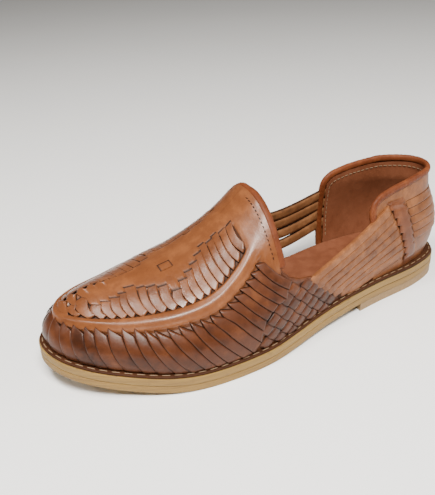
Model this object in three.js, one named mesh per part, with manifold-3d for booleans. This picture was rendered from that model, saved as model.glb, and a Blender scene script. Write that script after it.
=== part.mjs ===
// A woven leather huarache sandal: a left shoe that stands empty on its sole.
// Millimetres. The toe points along -Y, the outer side of the foot is +X and +Z is up.
// The origin is on the ground under the middle of the heel.
import * as THREE from 'three';
import { mergeVertices } from 'three/addons/utils/BufferGeometryUtils.js';
import Module from 'manifold-3d';

const wasm = await Module();
wasm.setup();

// Sizes
const soleLength = 288;
const ballWidth = 105;
const heelWidth = 66;
const heelToOrigin = 42;
const outsoleThickness = 4.4;
const midsoleThickness = 4.6;
const weltThickness = 1.4;
const weltWidth = 10;
const heelLiftHeight = 5.8;
const heelLiftLength = 86;
const toeSpring = 13.4;
const insoleThickness = 2.0;
const instepHeight = 92;
const toeBoxHeight = 53;
const counterHeight = 77;
const edgeShow = 5;
const bulge = 5;
const wall = 2.0;
const stripRise = 0.7;
const ridgeRise = 1.4;
const stripPitch = 7;
const strapGap = 1.8;
const bindingWidth = 4;
const bindingLip = 0.7;
const clearance = 0.3;

// Half outline of the sole, one row every 20 degrees of one turn from the back of the heel along the outer side,
// round the toe and back along the inner side. Along the shoe a row stands at soleLength * (1 - cos(turn)) / 2.
// ball and heel are shares of ballWidth and heelWidth, and their sum is the reach to the outer side.
const outlineRows = [
  { ball: 0.0, heel: 0.015 },
  { ball: 0.0, heel: 0.305 },
  { ball: 0.0, heel: 0.459 },
  { ball: 0.02, heel: 0.506 },
  { ball: 0.252, heel: 0.273 },
  { ball: 0.481, heel: 0.091 },
  { ball: 0.529, heel: 0.0 },
  { ball: 0.386, heel: 0.0 },
  { ball: 0.205, heel: 0.0 },
  { ball: -0.014, heel: 0.0 },
  { ball: -0.205, heel: 0.0 },
  { ball: -0.352, heel: 0.0 },
  { ball: -0.452, heel: 0.0 },
  { ball: -0.305, heel: -0.091 },
  { ball: -0.081, heel: -0.273 },
  { ball: 0.0, heel: -0.462 },
  { ball: 0.0, heel: -0.447 },
  { ball: 0.0, heel: -0.27 },
];

// Underside of the outsole: along is a share of soleLength, lift of heelLiftHeight, spring of toeSpring.
const soleRows = [
  { along: 0.0, lift: 1.0, spring: 0.0 },
  { along: 0.29, lift: 1.0, spring: 0.0 },
  { along: 0.38, lift: 0.79, spring: 0.0 },
  { along: 0.486, lift: 0.33, spring: 0.0 },
  { along: 0.56, lift: 0.06, spring: 0.0 },
  { along: 0.6, lift: 0.0, spring: 0.0 },
  { along: 0.71, lift: 0.0, spring: 0.0 },
  { along: 0.75, lift: 0.0, spring: 0.035 },
  { along: 0.816, lift: 0.0, spring: 0.19 },
  { along: 0.903, lift: 0.0, spring: 0.52 },
  { along: 0.955, lift: 0.0, spring: 0.77 },
  { along: 1.0, lift: 0.0, spring: 1.0 },
];

// Height of the upper over its middle line: instep and toe are shares of instepHeight and toeBoxHeight.
// Behind the throat the surface goes on to an imagined crown, which the collar cuts away.
const crownRows = [
  { along: -0.03, instep: 1.39, toe: 0.0 },
  { along: 0.07, instep: 1.41, toe: 0.0 },
  { along: 0.174, instep: 1.4, toe: 0.0 },
  { along: 0.278, instep: 1.35, toe: 0.0 },
  { along: 0.382, instep: 1.25, toe: 0.0 },
  { along: 0.47, instep: 1.13, toe: 0.0 },
  { along: 0.531, instep: 1.01, toe: 0.0 },
  { along: 0.573, instep: 0.895, toe: 0.0 },
  { along: 0.615, instep: 0.795, toe: 0.0 },
  { along: 0.684, instep: 0.45, toe: 0.4 },
  { along: 0.753, instep: 0.12, toe: 0.873 },
  { along: 0.833, instep: 0.0, toe: 1.0 },
  { along: 0.91, instep: 0.0, toe: 0.99 },
  { along: 1.0, instep: 0.0, toe: 0.975 },
];

// Form of the upper along the foot: middle is the place of its middle line in shares of ballWidth, side and rise are
// the powers of its rounded section, swell the share of bulge, peak the share of the height where the swell ends,
// and inset the distance from the sole's edge to the upper in shares of edgeShow.
const formRows = [
  { along: 0.0, middle: 0.01, side: 2.6, rise: 2.3, swell: 0.96, peak: 0.42, inset: 1.3 },
  { along: 0.1, middle: 0.014, side: 2.6, rise: 2.3, swell: 0.96, peak: 0.42, inset: 0.96 },
  { along: 0.21, middle: 0.019, side: 2.5, rise: 2.2, swell: 0.5, peak: 0.45, inset: 0.7 },
  { along: 0.38, middle: 0.028, side: 2.3, rise: 2.0, swell: 0.3, peak: 0.6, inset: 0.5 },
  { along: 0.53, middle: 0.028, side: 2.2, rise: 1.9, swell: 0.3, peak: 0.7, inset: 0.55 },
  { along: 0.69, middle: 0.019, side: 2.25, rise: 2.0, swell: 0.5, peak: 0.7, inset: 0.6 },
  { along: 0.83, middle: 0.005, side: 2.3, rise: 2.2, swell: 0.6, peak: 0.75, inset: 0.8 },
  { along: 1.0, middle: -0.02, side: 2.3, rise: 2.2, swell: 0.3, peak: 0.75, inset: 1.0 },
];

// The upper's middle line runs between these shares of soleLength.
const middleStart = 0.11;
const middleEnd = 0.826;

// Height of the ridge round the vamp, as a share of the section's rise, over the turn round the outline in degrees.
const ridgeRows = [
  { turn: 0, rise: 0.52 },
  { turn: 90, rise: 0.6 },
  { turn: 98, rise: 0.635 },
  { turn: 102, rise: 0.585 },
  { turn: 106, rise: 0.535 },
  { turn: 112, rise: 0.485 },
  { turn: 123, rise: 0.46 },
  { turn: 134, rise: 0.455 },
  { turn: 160, rise: 0.44 },
  { turn: 180, rise: 0.42 },
];

// Top edge of the upper seen from the side: along is a share of soleLength, instep and counter are
// shares of instepHeight and counterHeight, and their sum is the height.
const topOuter = [
  { along: 0.532, instep: 1.6, counter: 0.0 },
  { along: 0.532, instep: 0.62, counter: 0.0 },
  { along: 0.526, instep: 0.58, counter: 0.0 },
  { along: 0.51, instep: 0.53, counter: 0.0 },
  { along: 0.486, instep: 0.495, counter: 0.0 },
  { along: 0.452, instep: 0.48, counter: 0.0 },
  { along: 0.4, instep: 0.495, counter: 0.0 },
  { along: 0.34, instep: 0.535, counter: 0.0 },
  { along: 0.295, instep: 0.575, counter: 0.0 },
  { along: 0.262, instep: 0.61, counter: 0.0 },
  { along: 0.254, instep: 0.625, counter: 0.0 },
  { along: 0.252, instep: 0.0, counter: 0.86 },
  { along: 0.246, instep: 0.0, counter: 0.91 },
  { along: 0.23, instep: 0.0, counter: 0.945 },
  { along: 0.19, instep: 0.0, counter: 0.975 },
  { along: 0.12, instep: 0.0, counter: 1.0 },
  { along: 0.0, instep: 0.0, counter: 1.0 },
  { along: -0.2, instep: 0.0, counter: 1.0 },
];
const topInner = [
  { along: 0.532, instep: 1.6, counter: 0.0 },
  { along: 0.532, instep: 0.72, counter: 0.0 },
  { along: 0.526, instep: 0.68, counter: 0.0 },
  { along: 0.512, instep: 0.65, counter: 0.0 },
  { along: 0.486, instep: 0.63, counter: 0.0 },
  { along: 0.43, instep: 0.62, counter: 0.0 },
  { along: 0.36, instep: 0.635, counter: 0.0 },
  { along: 0.3, instep: 0.66, counter: 0.0 },
  { along: 0.263, instep: 0.68, counter: 0.0 },
  { along: 0.255, instep: 0.69, counter: 0.0 },
  { along: 0.253, instep: 0.0, counter: 0.87 },
  { along: 0.246, instep: 0.0, counter: 0.91 },
  { along: 0.23, instep: 0.0, counter: 0.94 },
  { along: 0.19, instep: 0.0, counter: 0.965 },
  { along: 0.12, instep: 0.0, counter: 0.99 },
  { along: 0.0, instep: 0.0, counter: 1.0 },
  { along: -0.2, instep: 0.0, counter: 1.0 },
];
const rimStartOuter = 10;
const rimStartInner = 9;

// Middle lines of the gaps between the four straps, front to back, as shares of soleLength and instepHeight.
const gapsOuter = [
  [
    { along: 0.425, height: 0.405 },
    { along: 0.365, height: 0.425 },
    { along: 0.3, height: 0.455 },
    { along: 0.257, height: 0.49 },
  ],
  [
    { along: 0.405, height: 0.335 },
    { along: 0.36, height: 0.345 },
    { along: 0.3, height: 0.365 },
    { along: 0.257, height: 0.385 },
  ],
  [
    { along: 0.375, height: 0.265 },
    { along: 0.34, height: 0.272 },
    { along: 0.3, height: 0.282 },
    { along: 0.257, height: 0.3 },
  ],
];
const gapsInner = [
  [
    { along: 0.465, height: 0.535 },
    { along: 0.41, height: 0.54 },
    { along: 0.33, height: 0.565 },
    { along: 0.258, height: 0.595 },
  ],
  [
    { along: 0.45, height: 0.45 },
    { along: 0.4, height: 0.455 },
    { along: 0.33, height: 0.475 },
    { along: 0.258, height: 0.51 },
  ],
  [
    { along: 0.43, height: 0.36 },
    { along: 0.38, height: 0.37 },
    { along: 0.32, height: 0.39 },
    { along: 0.258, height: 0.425 },
  ],
];

// The open triangle between the lowest strap and the sole: its upper edge, front to back.
const archOuter = [
  { along: 0.36, height: 0.1 },
  { along: 0.35, height: 0.2 },
  { along: 0.3, height: 0.222 },
  { along: 0.26, height: 0.245 },
  { along: 0.25, height: 0.1 },
];
const archInner = [
  { along: 0.435, height: 0.1 },
  { along: 0.41, height: 0.262 },
  { along: 0.32, height: 0.3 },
  { along: 0.257, height: 0.335 },
  { along: 0.247, height: 0.1 },
];

// Value of one column of a table at x, by a smooth curve through its rows (cubic pieces with shared slopes).
function reading(rows, key, column, x) {
  const last = rows.length - 1;
  const at = Math.min(Math.max(x, rows[0][key]), rows[last][key]);
  let i = 0;
  while (i < last - 1 && rows[i + 1][key] < at) i += 1;
  const slope = (j) => {
    const a = Math.max(j - 1, 0);
    const b = Math.min(j + 1, last);
    return (rows[b][column] - rows[a][column]) / (rows[b][key] - rows[a][key]);
  };
  const span = rows[i + 1][key] - rows[i][key];
  const t = (at - rows[i][key]) / span;
  const t2 = t * t;
  const t3 = t2 * t;
  return (2 * t3 - 3 * t2 + 1) * rows[i][column] + (t3 - 2 * t2 + t) * span * slope(i)
    + (3 * t2 - 2 * t3) * rows[i + 1][column] + (t3 - t2) * span * slope(i + 1);
}

// Point of the sole's outline at a turn in degrees: x to the outer side, s from the back of the heel.
function outlinePoint(turn) {
  const count = outlineRows.length;
  const place = ((turn / 360) * count % count + count) % count;
  const i = Math.floor(place);
  const t = place - i;
  const row = (k) => {
    const r = outlineRows[(i + k + count) % count];
    return r.ball * ballWidth + r.heel * heelWidth;
  };
  const [a, b, c, d] = [row(-1), row(0), row(1), row(2)];
  const x = 0.5 * (2 * b + (c - a) * t + (2 * a - 5 * b + 4 * c - d) * t * t + (3 * b - a - 3 * c + d) * t * t * t);
  return { x, s: soleLength * (1 - Math.cos(THREE.MathUtils.degToRad(turn))) / 2 };
}

// Outline moved inwards by an inset, at right angles to itself.
function insetPoint(turn, inset) {
  const here = outlinePoint(turn);
  const before = outlinePoint(turn - 0.5);
  const after = outlinePoint(turn + 0.5);
  const dx = after.x - before.x;
  const ds = after.s - before.s;
  const length = Math.hypot(dx, ds);
  return { x: here.x - inset * ds / length, s: here.s + inset * dx / length };
}

// Heights of the layers above the ground at a distance s from the back of the heel.
function soleBottom(s) {
  const along = s / soleLength;
  return heelLiftHeight * Math.max(reading(soleRows, 'along', 'lift', along), 0)
    + toeSpring * Math.max(reading(soleRows, 'along', 'spring', along), 0);
}
const midsoleBottom = (s) => soleBottom(s) + outsoleThickness + clearance;
const weltBottom = (s) => midsoleBottom(s) + midsoleThickness + clearance;
const weltTop = (s) => weltBottom(s) + weltThickness;
const feather = (s) => weltTop(s) + clearance;

// Point of the upper's outer face. turn goes round the outline in degrees and rise from 0 at the sole to 1 at the
// middle line: Q = M + (O - M) * cos(rise)^(2/side) and z = feather + (crown - feather) * sin(rise)^(2/rise power).
function upperPoint(turn, rise) {
  const base = outlinePoint(turn);
  const along0 = base.s / soleLength;
  const inset = edgeShow * reading(formRows, 'along', 'inset', along0);
  const foot = insetPoint(turn, inset);
  const share = foot.s / soleLength;
  const middleShare = (middleStart + middleEnd) / 2
    - (middleEnd - middleStart) / 2 * Math.cos(THREE.MathUtils.degToRad(turn));
  const middle = { x: ballWidth * reading(formRows, 'along', 'middle', middleShare), s: middleShare * soleLength };
  const angle = rise * Math.PI / 2;
  const reach = Math.max(Math.cos(angle), 0) ** (2 / reading(formRows, 'along', 'side', share));
  const height = Math.sin(angle) ** (2 / reading(formRows, 'along', 'rise', share));
  const dx = foot.x - middle.x;
  const ds = foot.s - middle.s;
  const away = Math.hypot(dx, ds);
  const peak = reading(formRows, 'along', 'peak', share);
  const swell = bulge * reading(formRows, 'along', 'swell', share) * Math.sin(Math.PI * Math.min(height / peak, 1));
  const x = middle.x + dx * reach + dx / away * swell;
  const s = middle.s + ds * reach + ds / away * swell;
  const along = s / soleLength;
  const crown = instepHeight * reading(crownRows, 'along', 'instep', along)
    + toeBoxHeight * reading(crownRows, 'along', 'toe', along);
  const foot0 = feather(foot.s);
  return new THREE.Vector3(x, s, foot0 + (crown - foot0) * height);
}

// Outward direction of the upper's face, from the two tangents of upperPoint.
function upperNormal(turn, rise) {
  const v = Math.min(Math.max(rise, 0.004), 0.994);
  const a = upperPoint(turn + 0.4, v).sub(upperPoint(turn - 0.4, v));
  const b = upperPoint(turn, v + 0.004).sub(upperPoint(turn, v - 0.004));
  return new THREE.Vector3().crossVectors(a, b).normalize();
}

// Turn on one side of the shoe where the upper reaches the distance s at a given rise.
function turnAtDistance(side, s, rise) {
  let low = side > 0 ? 0 : 360;
  let high = 180;
  for (let i = 0; i < 40; i += 1) {
    const mid = (low + high) / 2;
    if (upperPoint(mid, rise).y < s) low = mid;
    else high = mid;
  }
  return (low + high) / 2;
}

// Rise on one side where the upper passes through the distance s and the height z.
function riseAtHeight(side, s, z) {
  let low = 0;
  let high = 1;
  for (let i = 0; i < 30; i += 1) {
    const mid = (low + high) / 2;
    if (upperPoint(turnAtDistance(side, s, mid), mid).z < z) low = mid;
    else high = mid;
  }
  return (low + high) / 2;
}

// Rise of the middle line at one end of the shoe where the upper reaches the distance s.
function riseAtEnd(turn, s) {
  const toward = turn === 180 ? 1 : -1;
  let low = 0;
  let high = 1;
  for (let i = 0; i < 40; i += 1) {
    const mid = (low + high) / 2;
    if ((upperPoint(turn, mid).y - s) * toward > 0) low = mid;
    else high = mid;
  }
  return (low + high) / 2;
}

// Closed solid from vertices and triangles, turned so that its faces point out.
function solid(vertices, triangles) {
  let volume = 0;
  for (const [a, b, c] of triangles) {
    volume += vertices[a].dot(new THREE.Vector3().crossVectors(vertices[b], vertices[c]));
  }
  const index = triangles.flatMap(([a, b, c]) => (volume < 0 ? [a, c, b] : [a, b, c]));
  const flat = vertices.flatMap((p) => [p.x, heelToOrigin - p.y, p.z]);
  for (let i = 0; i < index.length; i += 3) {
    const keep = index[i + 1];
    index[i + 1] = index[i + 2];
    index[i + 2] = keep;
  }
  return new wasm.Manifold(new wasm.Mesh({
    numProp: 3,
    vertProperties: new Float32Array(flat),
    triVerts: new Uint32Array(index),
  }));
}

// Sheet of the sole between two heights, inset from the outline by insetOf(turn): a ladder of rungs from the outer to
// the inner side, from the heel to the toe or to a straight end at the distance to.
function sheet(insetOf, lower, upper, to = soleLength) {
  const vertices = [];
  const triangles = [];
  const rungs = 44;
  const add = (p) => {
    vertices.push(new THREE.Vector3(p.x, p.s, lower(p.s)), new THREE.Vector3(p.x, p.s, upper(p.s)));
    return vertices.length - 2;
  };
  const at = (turn) => insetPoint(turn, insetOf(turn));
  const atDistance = (side) => {
    let low = side > 0 ? 0 : 360;
    let high = 180;
    for (let k = 0; k < 40; k += 1) {
      const mid = (low + high) / 2;
      if (at(mid).s < to) low = mid;
      else high = mid;
    }
    return { x: at(low).x, s: to };
  };
  const heel = add(at(0));
  const rows = [];
  for (let i = 1; i < rungs; i += 1) {
    const pair = [at(180 * i / rungs), at(360 - 180 * i / rungs)];
    if ((pair[0].s + pair[1].s) / 2 < to - 1) rows.push(pair);
  }
  if (to < soleLength) rows.push([atDistance(1), atDistance(-1)]);
  const ids = rows.map(([a, b]) => [add(a), add(b)]);
  const wallFace = (a, b) => triangles.push([a, b, b + 1], [a, b + 1, a + 1]);
  const cap = (a, b, c) => triangles.push([a, b, c], [a + 1, c + 1, b + 1]);
  cap(heel, ids[0][1], ids[0][0]);
  wallFace(heel, ids[0][0]);
  wallFace(ids[0][1], heel);
  for (let i = 0; i + 1 < ids.length; i += 1) {
    const [a, b] = ids[i];
    const [c, d] = ids[i + 1];
    cap(a, b, d);
    cap(a, d, c);
    wallFace(a, c);
    wallFace(d, b);
  }
  const [a, b] = ids[ids.length - 1];
  if (to < soleLength) {
    wallFace(a, b);
  } else {
    const toe = add(at(180));
    cap(a, b, toe);
    wallFace(a, toe);
    wallFace(toe, b);
  }
  return solid(vertices, triangles);
}

// Block that cuts straight across the shoe, from its outline seen from the side, on the outer (1) or inner (-1) side.
function sideBlock(points, side, near = 0) {
  const shape = new THREE.Shape(points.map((p) => new THREE.Vector2(p.s, p.z)));
  const depth = ballWidth;
  const geometry = new THREE.ExtrudeGeometry(shape, { depth, bevelEnabled: false, curveSegments: 1 });
  geometry.applyMatrix4(new THREE.Matrix4().makeBasis(
    new THREE.Vector3(0, -1, 0), new THREE.Vector3(0, 0, 1), new THREE.Vector3(-1, 0, 0)));
  geometry.translate(side > 0 ? depth + near : -near, heelToOrigin, 0);
  geometry.deleteAttribute('normal');
  geometry.deleteAttribute('uv');
  const merged = mergeVertices(geometry, 1e-5);
  return new wasm.Manifold(new wasm.Mesh({
    numProp: 3,
    vertProperties: new Float32Array(merged.attributes.position.array),
    triVerts: new Uint32Array(merged.index.array),
  }));
}

// Columns of the upper from the toe to the heel, counted in strips: pairs at each edge between two strips.
const frontStrips = 19;
const rearColumns = 15;
const rearFineness = 1.4;
const edge = 0.06;
const ridgeAt = (turn) => reading(ridgeRows, 'turn', 'rise', turn);
const ridgeCurve = [];
let run = 0;
for (let turn = 180; turn >= 0; turn -= 1) {
  const p = upperPoint(turn, ridgeAt(turn));
  if (ridgeCurve.length) run += p.distanceTo(ridgeCurve[ridgeCurve.length - 1].p);
  ridgeCurve.push({ turn, run, p });
}
function turnAtRun(length) {
  let i = 1;
  while (i < ridgeCurve.length - 1 && ridgeCurve[i].run < length) i += 1;
  const [a, b] = [ridgeCurve[i - 1], ridgeCurve[i]];
  return a.turn + (b.turn - a.turn) * Math.min((length - a.run) / (b.run - a.run), 1);
}
const frontRun = frontStrips * stripPitch;
const rearRun = run - frontRun;
const runAt = (i) => {
  if (i <= frontStrips) return i * stripPitch;
  return run - rearRun * Math.max(1 - (i - frontStrips) / rearColumns, 0) ** rearFineness;
};
const columns = [{ i: 0, high: 0 }, { i: 0.5, high: 0 }];
for (let k = 1; k <= frontStrips; k += 1) columns.push({ i: k - edge, high: 0 }, { i: k + edge, high: 1 });
for (let k = 1; k < rearColumns; k += 1) columns.push({ i: frontStrips + k, high: 0 });
columns.push({ i: frontStrips + rearColumns, high: 0 });

// Rows of the side wall in shares of the ridge's rise, with the lift of the ridge itself.
const wallRows = [
  { share: 0.0, ridge: 0.0 },
  { share: 0.05, ridge: 0.0 },
  { share: 0.14, ridge: 0.0 },
  { share: 0.28, ridge: 0.0 },
  { share: 0.44, ridge: 0.0 },
  { share: 0.6, ridge: 0.0 },
  { share: 0.75, ridge: 0.0 },
  { share: 0.87, ridge: 0.0 },
  { share: 0.93, ridge: 0.75 },
  { share: 1.0, ridge: 1.0 },
  { share: 1.07, ridge: 0.75 },
  { share: 1.13, ridge: 0.0 },
];
const vampSteps = 5;
const slant = 2.8;
const slantAtToe = 0.3;
const slantGrowth = 0.07;
const smooth = (t) => {
  const c = Math.min(Math.max(t, 0), 1);
  return c * c * (3 - 2 * c);
};

// Place of one vertex of the side wall: the strips lean backwards on their way down to the sole.
function wallPlace(column, share, side) {
  const growth = smooth(column.i) * Math.min(slantAtToe + slantGrowth * column.i, 1);
  const lean = slant * Math.max(0.87 - share, 0) * growth * smooth((frontStrips + 6 - column.i) / 8);
  const turn = turnAtRun(runAt(column.i + lean));
  const rise = ridgeAt(turnAtRun(runAt(column.i))) * share;
  if (side > 0) return { turn, rise };
  const at = upperPoint(turn, rise).y;
  return { turn: turn <= 0 || turn >= 180 ? turn : turnAtDistance(-1, at, rise), rise };
}

// Half of the plain panel along the vamp, in strips: its edge steps like stairs.
const panelSteps = [0.62, 0.5, 0.42, 0.5, 0.62, 0.72, 0.6, 0.46, 0.36, 0.5, 0.64, 0.74, 0.62, 0.5, 0.4, 0.3, 0.3, 0.3, 0.2];

// Outer (raised) and inner (plain, one wall further in) skins of the upper, joined round the sole and cut to shape.
function makeUpper() {
  const vertices = [];
  const triangles = [];
  const put = (turn, rise, lift) => {
    const p = upperPoint(turn, rise).addScaledVector(upperNormal(turn, rise), lift);
    if (rise === 0) p.z = feather(p.y);
    vertices.push(p);
    return vertices.length - 1;
  };
  const skin = (list, outer) => {
    const last = list.length - 1;
    const around = [];
    for (let c = 0; c <= last; c += 1) around.push({ column: list[c], side: 1 });
    for (let c = last - 1; c > 0; c -= 1) around.push({ column: list[c], side: -1 });
    const ring = wallRows.map((row) => around.map(({ column, side }) => {
      const { turn, rise } = wallPlace(column, row.share, side);
      const front = smooth((frontStrips + 1.5 - column.i) / 2);
      const strip = row.share > 0 && row.share < 0.9 ? stripRise * column.high * front : 0;
      return put(turn, rise, outer ? strip + ridgeRise * row.ridge * front : -wall);
    }));
    for (let r = 0; r + 1 < ring.length; r += 1) {
      for (let c = 0; c < around.length; c += 1) {
        const d = (c + 1) % around.length;
        triangles.push([ring[r][c], ring[r][d], ring[r + 1][d]], [ring[r][c], ring[r + 1][d], ring[r + 1][c]]);
      }
    }
    const top = ring[ring.length - 1];
    const topShare = wallRows[wallRows.length - 1].share;
    const rows = list.map((column, c) => {
      if (c === 0 || c === last) return [top[c]];
      const outerTop = wallPlace(column, topShare, 1);
      const s = upperPoint(outerTop.turn, outerTop.rise).y;
      let endRise = 1;
      if (s > middleEnd * soleLength) endRise = riseAtEnd(180, s);
      if (s < middleStart * soleLength) endRise = riseAtEnd(0, s);
      const front = smooth((frontStrips + 1.5 - column.i) / 2);
      const half = (side, step) => {
        const rise = outerTop.rise + (endRise - outerTop.rise) * step / vampSteps;
        const panel = panelSteps[Math.min(Math.floor(column.i), panelSteps.length - 1)];
        const strip = 1 - step / vampSteps > panel - 0.25 ? stripRise * column.high * front : stripRise * 0.5 * front;
        return put(turnAtDistance(side, s, rise), rise, outer ? strip : -wall);
      };
      const line = [top[c]];
      for (let step = 1; step < vampSteps; step += 1) line.push(half(1, step));
      let centre = turnAtDistance(1, s, Math.min(endRise, 0.9999));
      if (s > middleEnd * soleLength) centre = 180;
      if (s < middleStart * soleLength) centre = 0;
      line.push(put(centre, endRise, outer ? stripRise * 0.5 * front : -wall));
      for (let step = vampSteps - 1; step > 0; step -= 1) line.push(half(-1, step));
      line.push(top[(around.length - c) % around.length]);
      return line;
    });
    for (let r = 0; r < last; r += 1) {
      const [a, b] = [rows[r], rows[r + 1]];
      const count = Math.max(a.length, b.length);
      for (let k = 0; k + 1 < count; k += 1) {
        const [a0, a1] = a.length > 1 ? [a[k], a[k + 1]] : [a[0], a[0]];
        const [b0, b1] = b.length > 1 ? [b[k], b[k + 1]] : [b[0], b[0]];
        if (b0 !== b1) triangles.push([a0, b0, b1]);
        if (a0 !== a1) triangles.push([a0, b1, a1]);
      }
    }
    return ring[0];
  };
  const outerFoot = skin(columns, true);
  const outerTriangles = triangles.length;
  const innerList = columns.filter((column, c) => column.high === 0);
  const innerFoot = skin(innerList, false);
  for (let t = outerTriangles; t < triangles.length; t += 1) triangles[t].reverse();
  const lastOuter = columns.length - 1;
  const partner = columns.map((column) => innerList.findIndex((other) => Math.abs(other.i - column.i) < 0.5));
  const lastInner = innerList.length - 1;
  const innerOf = (c) => {
    if (c <= lastOuter) return partner[c];
    return (2 * lastInner - partner[2 * lastOuter - c]) % (2 * lastInner);
  };
  for (let c = 0; c < outerFoot.length; c += 1) {
    const d = (c + 1) % outerFoot.length;
    const [a, b] = [innerOf(c), innerOf(d)];
    triangles.push([outerFoot[d], outerFoot[c], innerFoot[a]]);
    if (a !== b) triangles.push([outerFoot[d], innerFoot[a], innerFoot[b]]);
  }
  let body = solid(vertices, triangles);
  const cut = (points, side, near) => {
    body = body.subtract(sideBlock(points, side, near));
  };
  for (const [table, side] of [[topOuter, 1], [topInner, -1]]) {
    const line = table.map((row) => ({
      s: row.along * soleLength, z: row.instep * instepHeight + row.counter * counterHeight,
    }));
    line.push({ s: -0.2 * soleLength, z: 1.6 * instepHeight });
    cut(line, side);
  }
  for (const [gaps, side] of [[gapsOuter, 1], [gapsInner, -1]]) {
    for (const gap of gaps) {
      const line = gap.map((row) => ({ s: row.along * soleLength, z: row.height * instepHeight }));
      const upperSide = line.map((p, i) => ({ s: p.s, z: p.z + strapGap * (i === 0 ? 0.2 : 0.5) }));
      const lowerSide = line.map((p, i) => ({ s: p.s, z: p.z - strapGap * (i === 0 ? 0.2 : 0.5) })).reverse();
      cut(upperSide.concat(lowerSide), side, side * heelWidth * 0.1);
    }
  }
  for (const [arch, side] of [[archOuter, 1], [archInner, -1]]) {
    cut(arch.map((row) => ({ s: row.along * soleLength, z: row.height * instepHeight })), side, side * heelWidth * 0.1);
  }
  return body;
}

// Bead with a rounded section along an edge that was cut straight across the shoe. Each station has the middle of the
// wall, the direction away from the cut and the direction through the wall.
function bead(stations) {
  const vertices = [];
  const triangles = [];
  const section = [
    [0, -1], [0.5, -1], [0.87, -0.6], [1, 0], [0.87, 0.6], [0.5, 1], [0, 1],
  ];
  for (const station of stations) {
    for (const [m, n] of section) {
      vertices.push(station.p.clone().addScaledVector(station.away, clearance + m * bindingWidth)
        .addScaledVector(station.across, n * station.half));
    }
  }
  const k = section.length;
  for (let i = 0; i + 1 < stations.length; i += 1) {
    for (let j = 0; j < k; j += 1) {
      const a = i * k + j;
      const b = i * k + (j + 1) % k;
      triangles.push([a, b, b + k], [a, b + k, a + k]);
    }
  }
  const end = (stations.length - 1) * k;
  for (let j = 1; j + 1 < k; j += 1) triangles.push([0, j + 1, j], [end, end + j, end + j + 1]);
  return solid(vertices, triangles);
}

// Place on the upper's wall at a side, a distance s and a height z, and the direction away from the cut there.
function edgePlace({ side, s, z, away }) {
  const rise = riseAtHeight(side, s, z);
  const turn = turnAtDistance(side, s, rise);
  const normal = upperNormal(turn, rise);
  return { turn, p: upperPoint(turn, rise).addScaledVector(normal, -wall / 2), normal, away };
}

// Rise where the upper reaches the height z at a given turn.
function riseOn(turn, z) {
  let low = 0;
  let high = 1;
  for (let i = 0; i < 40; i += 1) {
    const mid = (low + high) / 2;
    if (upperPoint(turn, mid).z < z) low = mid;
    else high = mid;
  }
  return (low + high) / 2;
}

// Stations of a bead from places along an edge: across lies in the cut face, at right angles to the edge.
function stationsOf(places) {
  return places.map(({ p, normal, away }, i) => {
    const before = places[Math.max(i - 1, 0)].p;
    const after = places[Math.min(i + 1, places.length - 1)].p;
    const tangent = after.clone().sub(before).normalize();
    const across = new THREE.Vector3().crossVectors(tangent, away).normalize();
    const half = Math.min(wall / 2 / Math.max(Math.abs(across.dot(normal)), 0.5) + bindingLip, wall + bindingLip);
    return { p, away: new THREE.Vector3().crossVectors(across, tangent).normalize(), across, half };
  });
}

function makeThroatBinding() {
  const parts = [];
  const away = new THREE.Vector3(0, -1, 0);
  const s = topOuter[0].along * soleLength;
  const top = upperPoint(turnAtDistance(1, s, 0.9995), 0.9995).z;
  const lows = [[1, topOuter[1].instep * instepHeight], [-1, topInner[1].instep * instepHeight]];
  const steps = 13;
  for (const [side, low] of lows) {
    const line = [];
    for (let i = 0; i <= steps; i += 1) {
      const z = low + bindingWidth / 2 + (top - low - bindingWidth / 2) * Math.sin(Math.PI / 2 * i / steps);
      line.push({ side, s, z: Math.min(z, top - 0.02), away });
    }
    if (side < 0) line.reverse().shift();
    parts.push(...line);
  }
  return bead(stationsOf(parts.map(edgePlace)));
}

function makeCounterBinding() {
  const sides = [[topOuter, rimStartOuter, 1], [topInner, rimStartInner, -1]].map(([table, first, side]) => {
    const points = table.slice(first, -1).map((row) => new THREE.Vector2(
      row.along * soleLength, row.instep * instepHeight + row.counter * counterHeight));
    points[0].lerp(points[1], 0.2);
    const line = [];
    for (let i = 0; i + 1 < points.length; i += 1) {
      const steps = Math.max(1, Math.round(points[i].distanceTo(points[i + 1]) / (soleLength / 32)));
      for (let k = 0; k < steps; k += 1) line.push(points[i].clone().lerp(points[i + 1], k / steps));
    }
    const near = line.filter((p) => p.x > 0.03 * soleLength);
    const places = near.map((p, i) => {
      const d = near[Math.min(i + 1, near.length - 1)].clone().sub(near[Math.max(i - 1, 0)]).normalize();
      return edgePlace({ side, s: p.x, z: p.y, away: new THREE.Vector3(0, d.y, -d.x) });
    });
    return side > 0 ? places : places.reverse();
  });
  const [outer, inner] = sides;
  const round = [24, 12, 0, 348, 336]
    .filter((turn) => (turn < 180 ? turn < outer[outer.length - 1].turn - 3 : turn > inner[0].turn + 3))
    .map((turn) => {
      const rise = riseOn(turn, counterHeight);
      const normal = upperNormal(turn, rise);
      const p = upperPoint(turn, rise).addScaledVector(normal, -wall / 2);
      return { turn, p, normal, away: new THREE.Vector3(0, 0, 1) };
    });
  return bead(stationsOf([...outer, ...round, ...inner]));
}

// Named mesh of one piece in its material.
function piece(name, body, material) {
  const mesh = body.getMesh();
  const geometry = new THREE.BufferGeometry();
  geometry.setAttribute('position', new THREE.BufferAttribute(new Float32Array(mesh.vertProperties), 3));
  geometry.setIndex(new THREE.BufferAttribute(new Uint32Array(mesh.triVerts), 1));
  geometry.computeVertexNormals();
  const result = new THREE.Mesh(geometry, material);
  result.name = name;
  return result;
}

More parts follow.
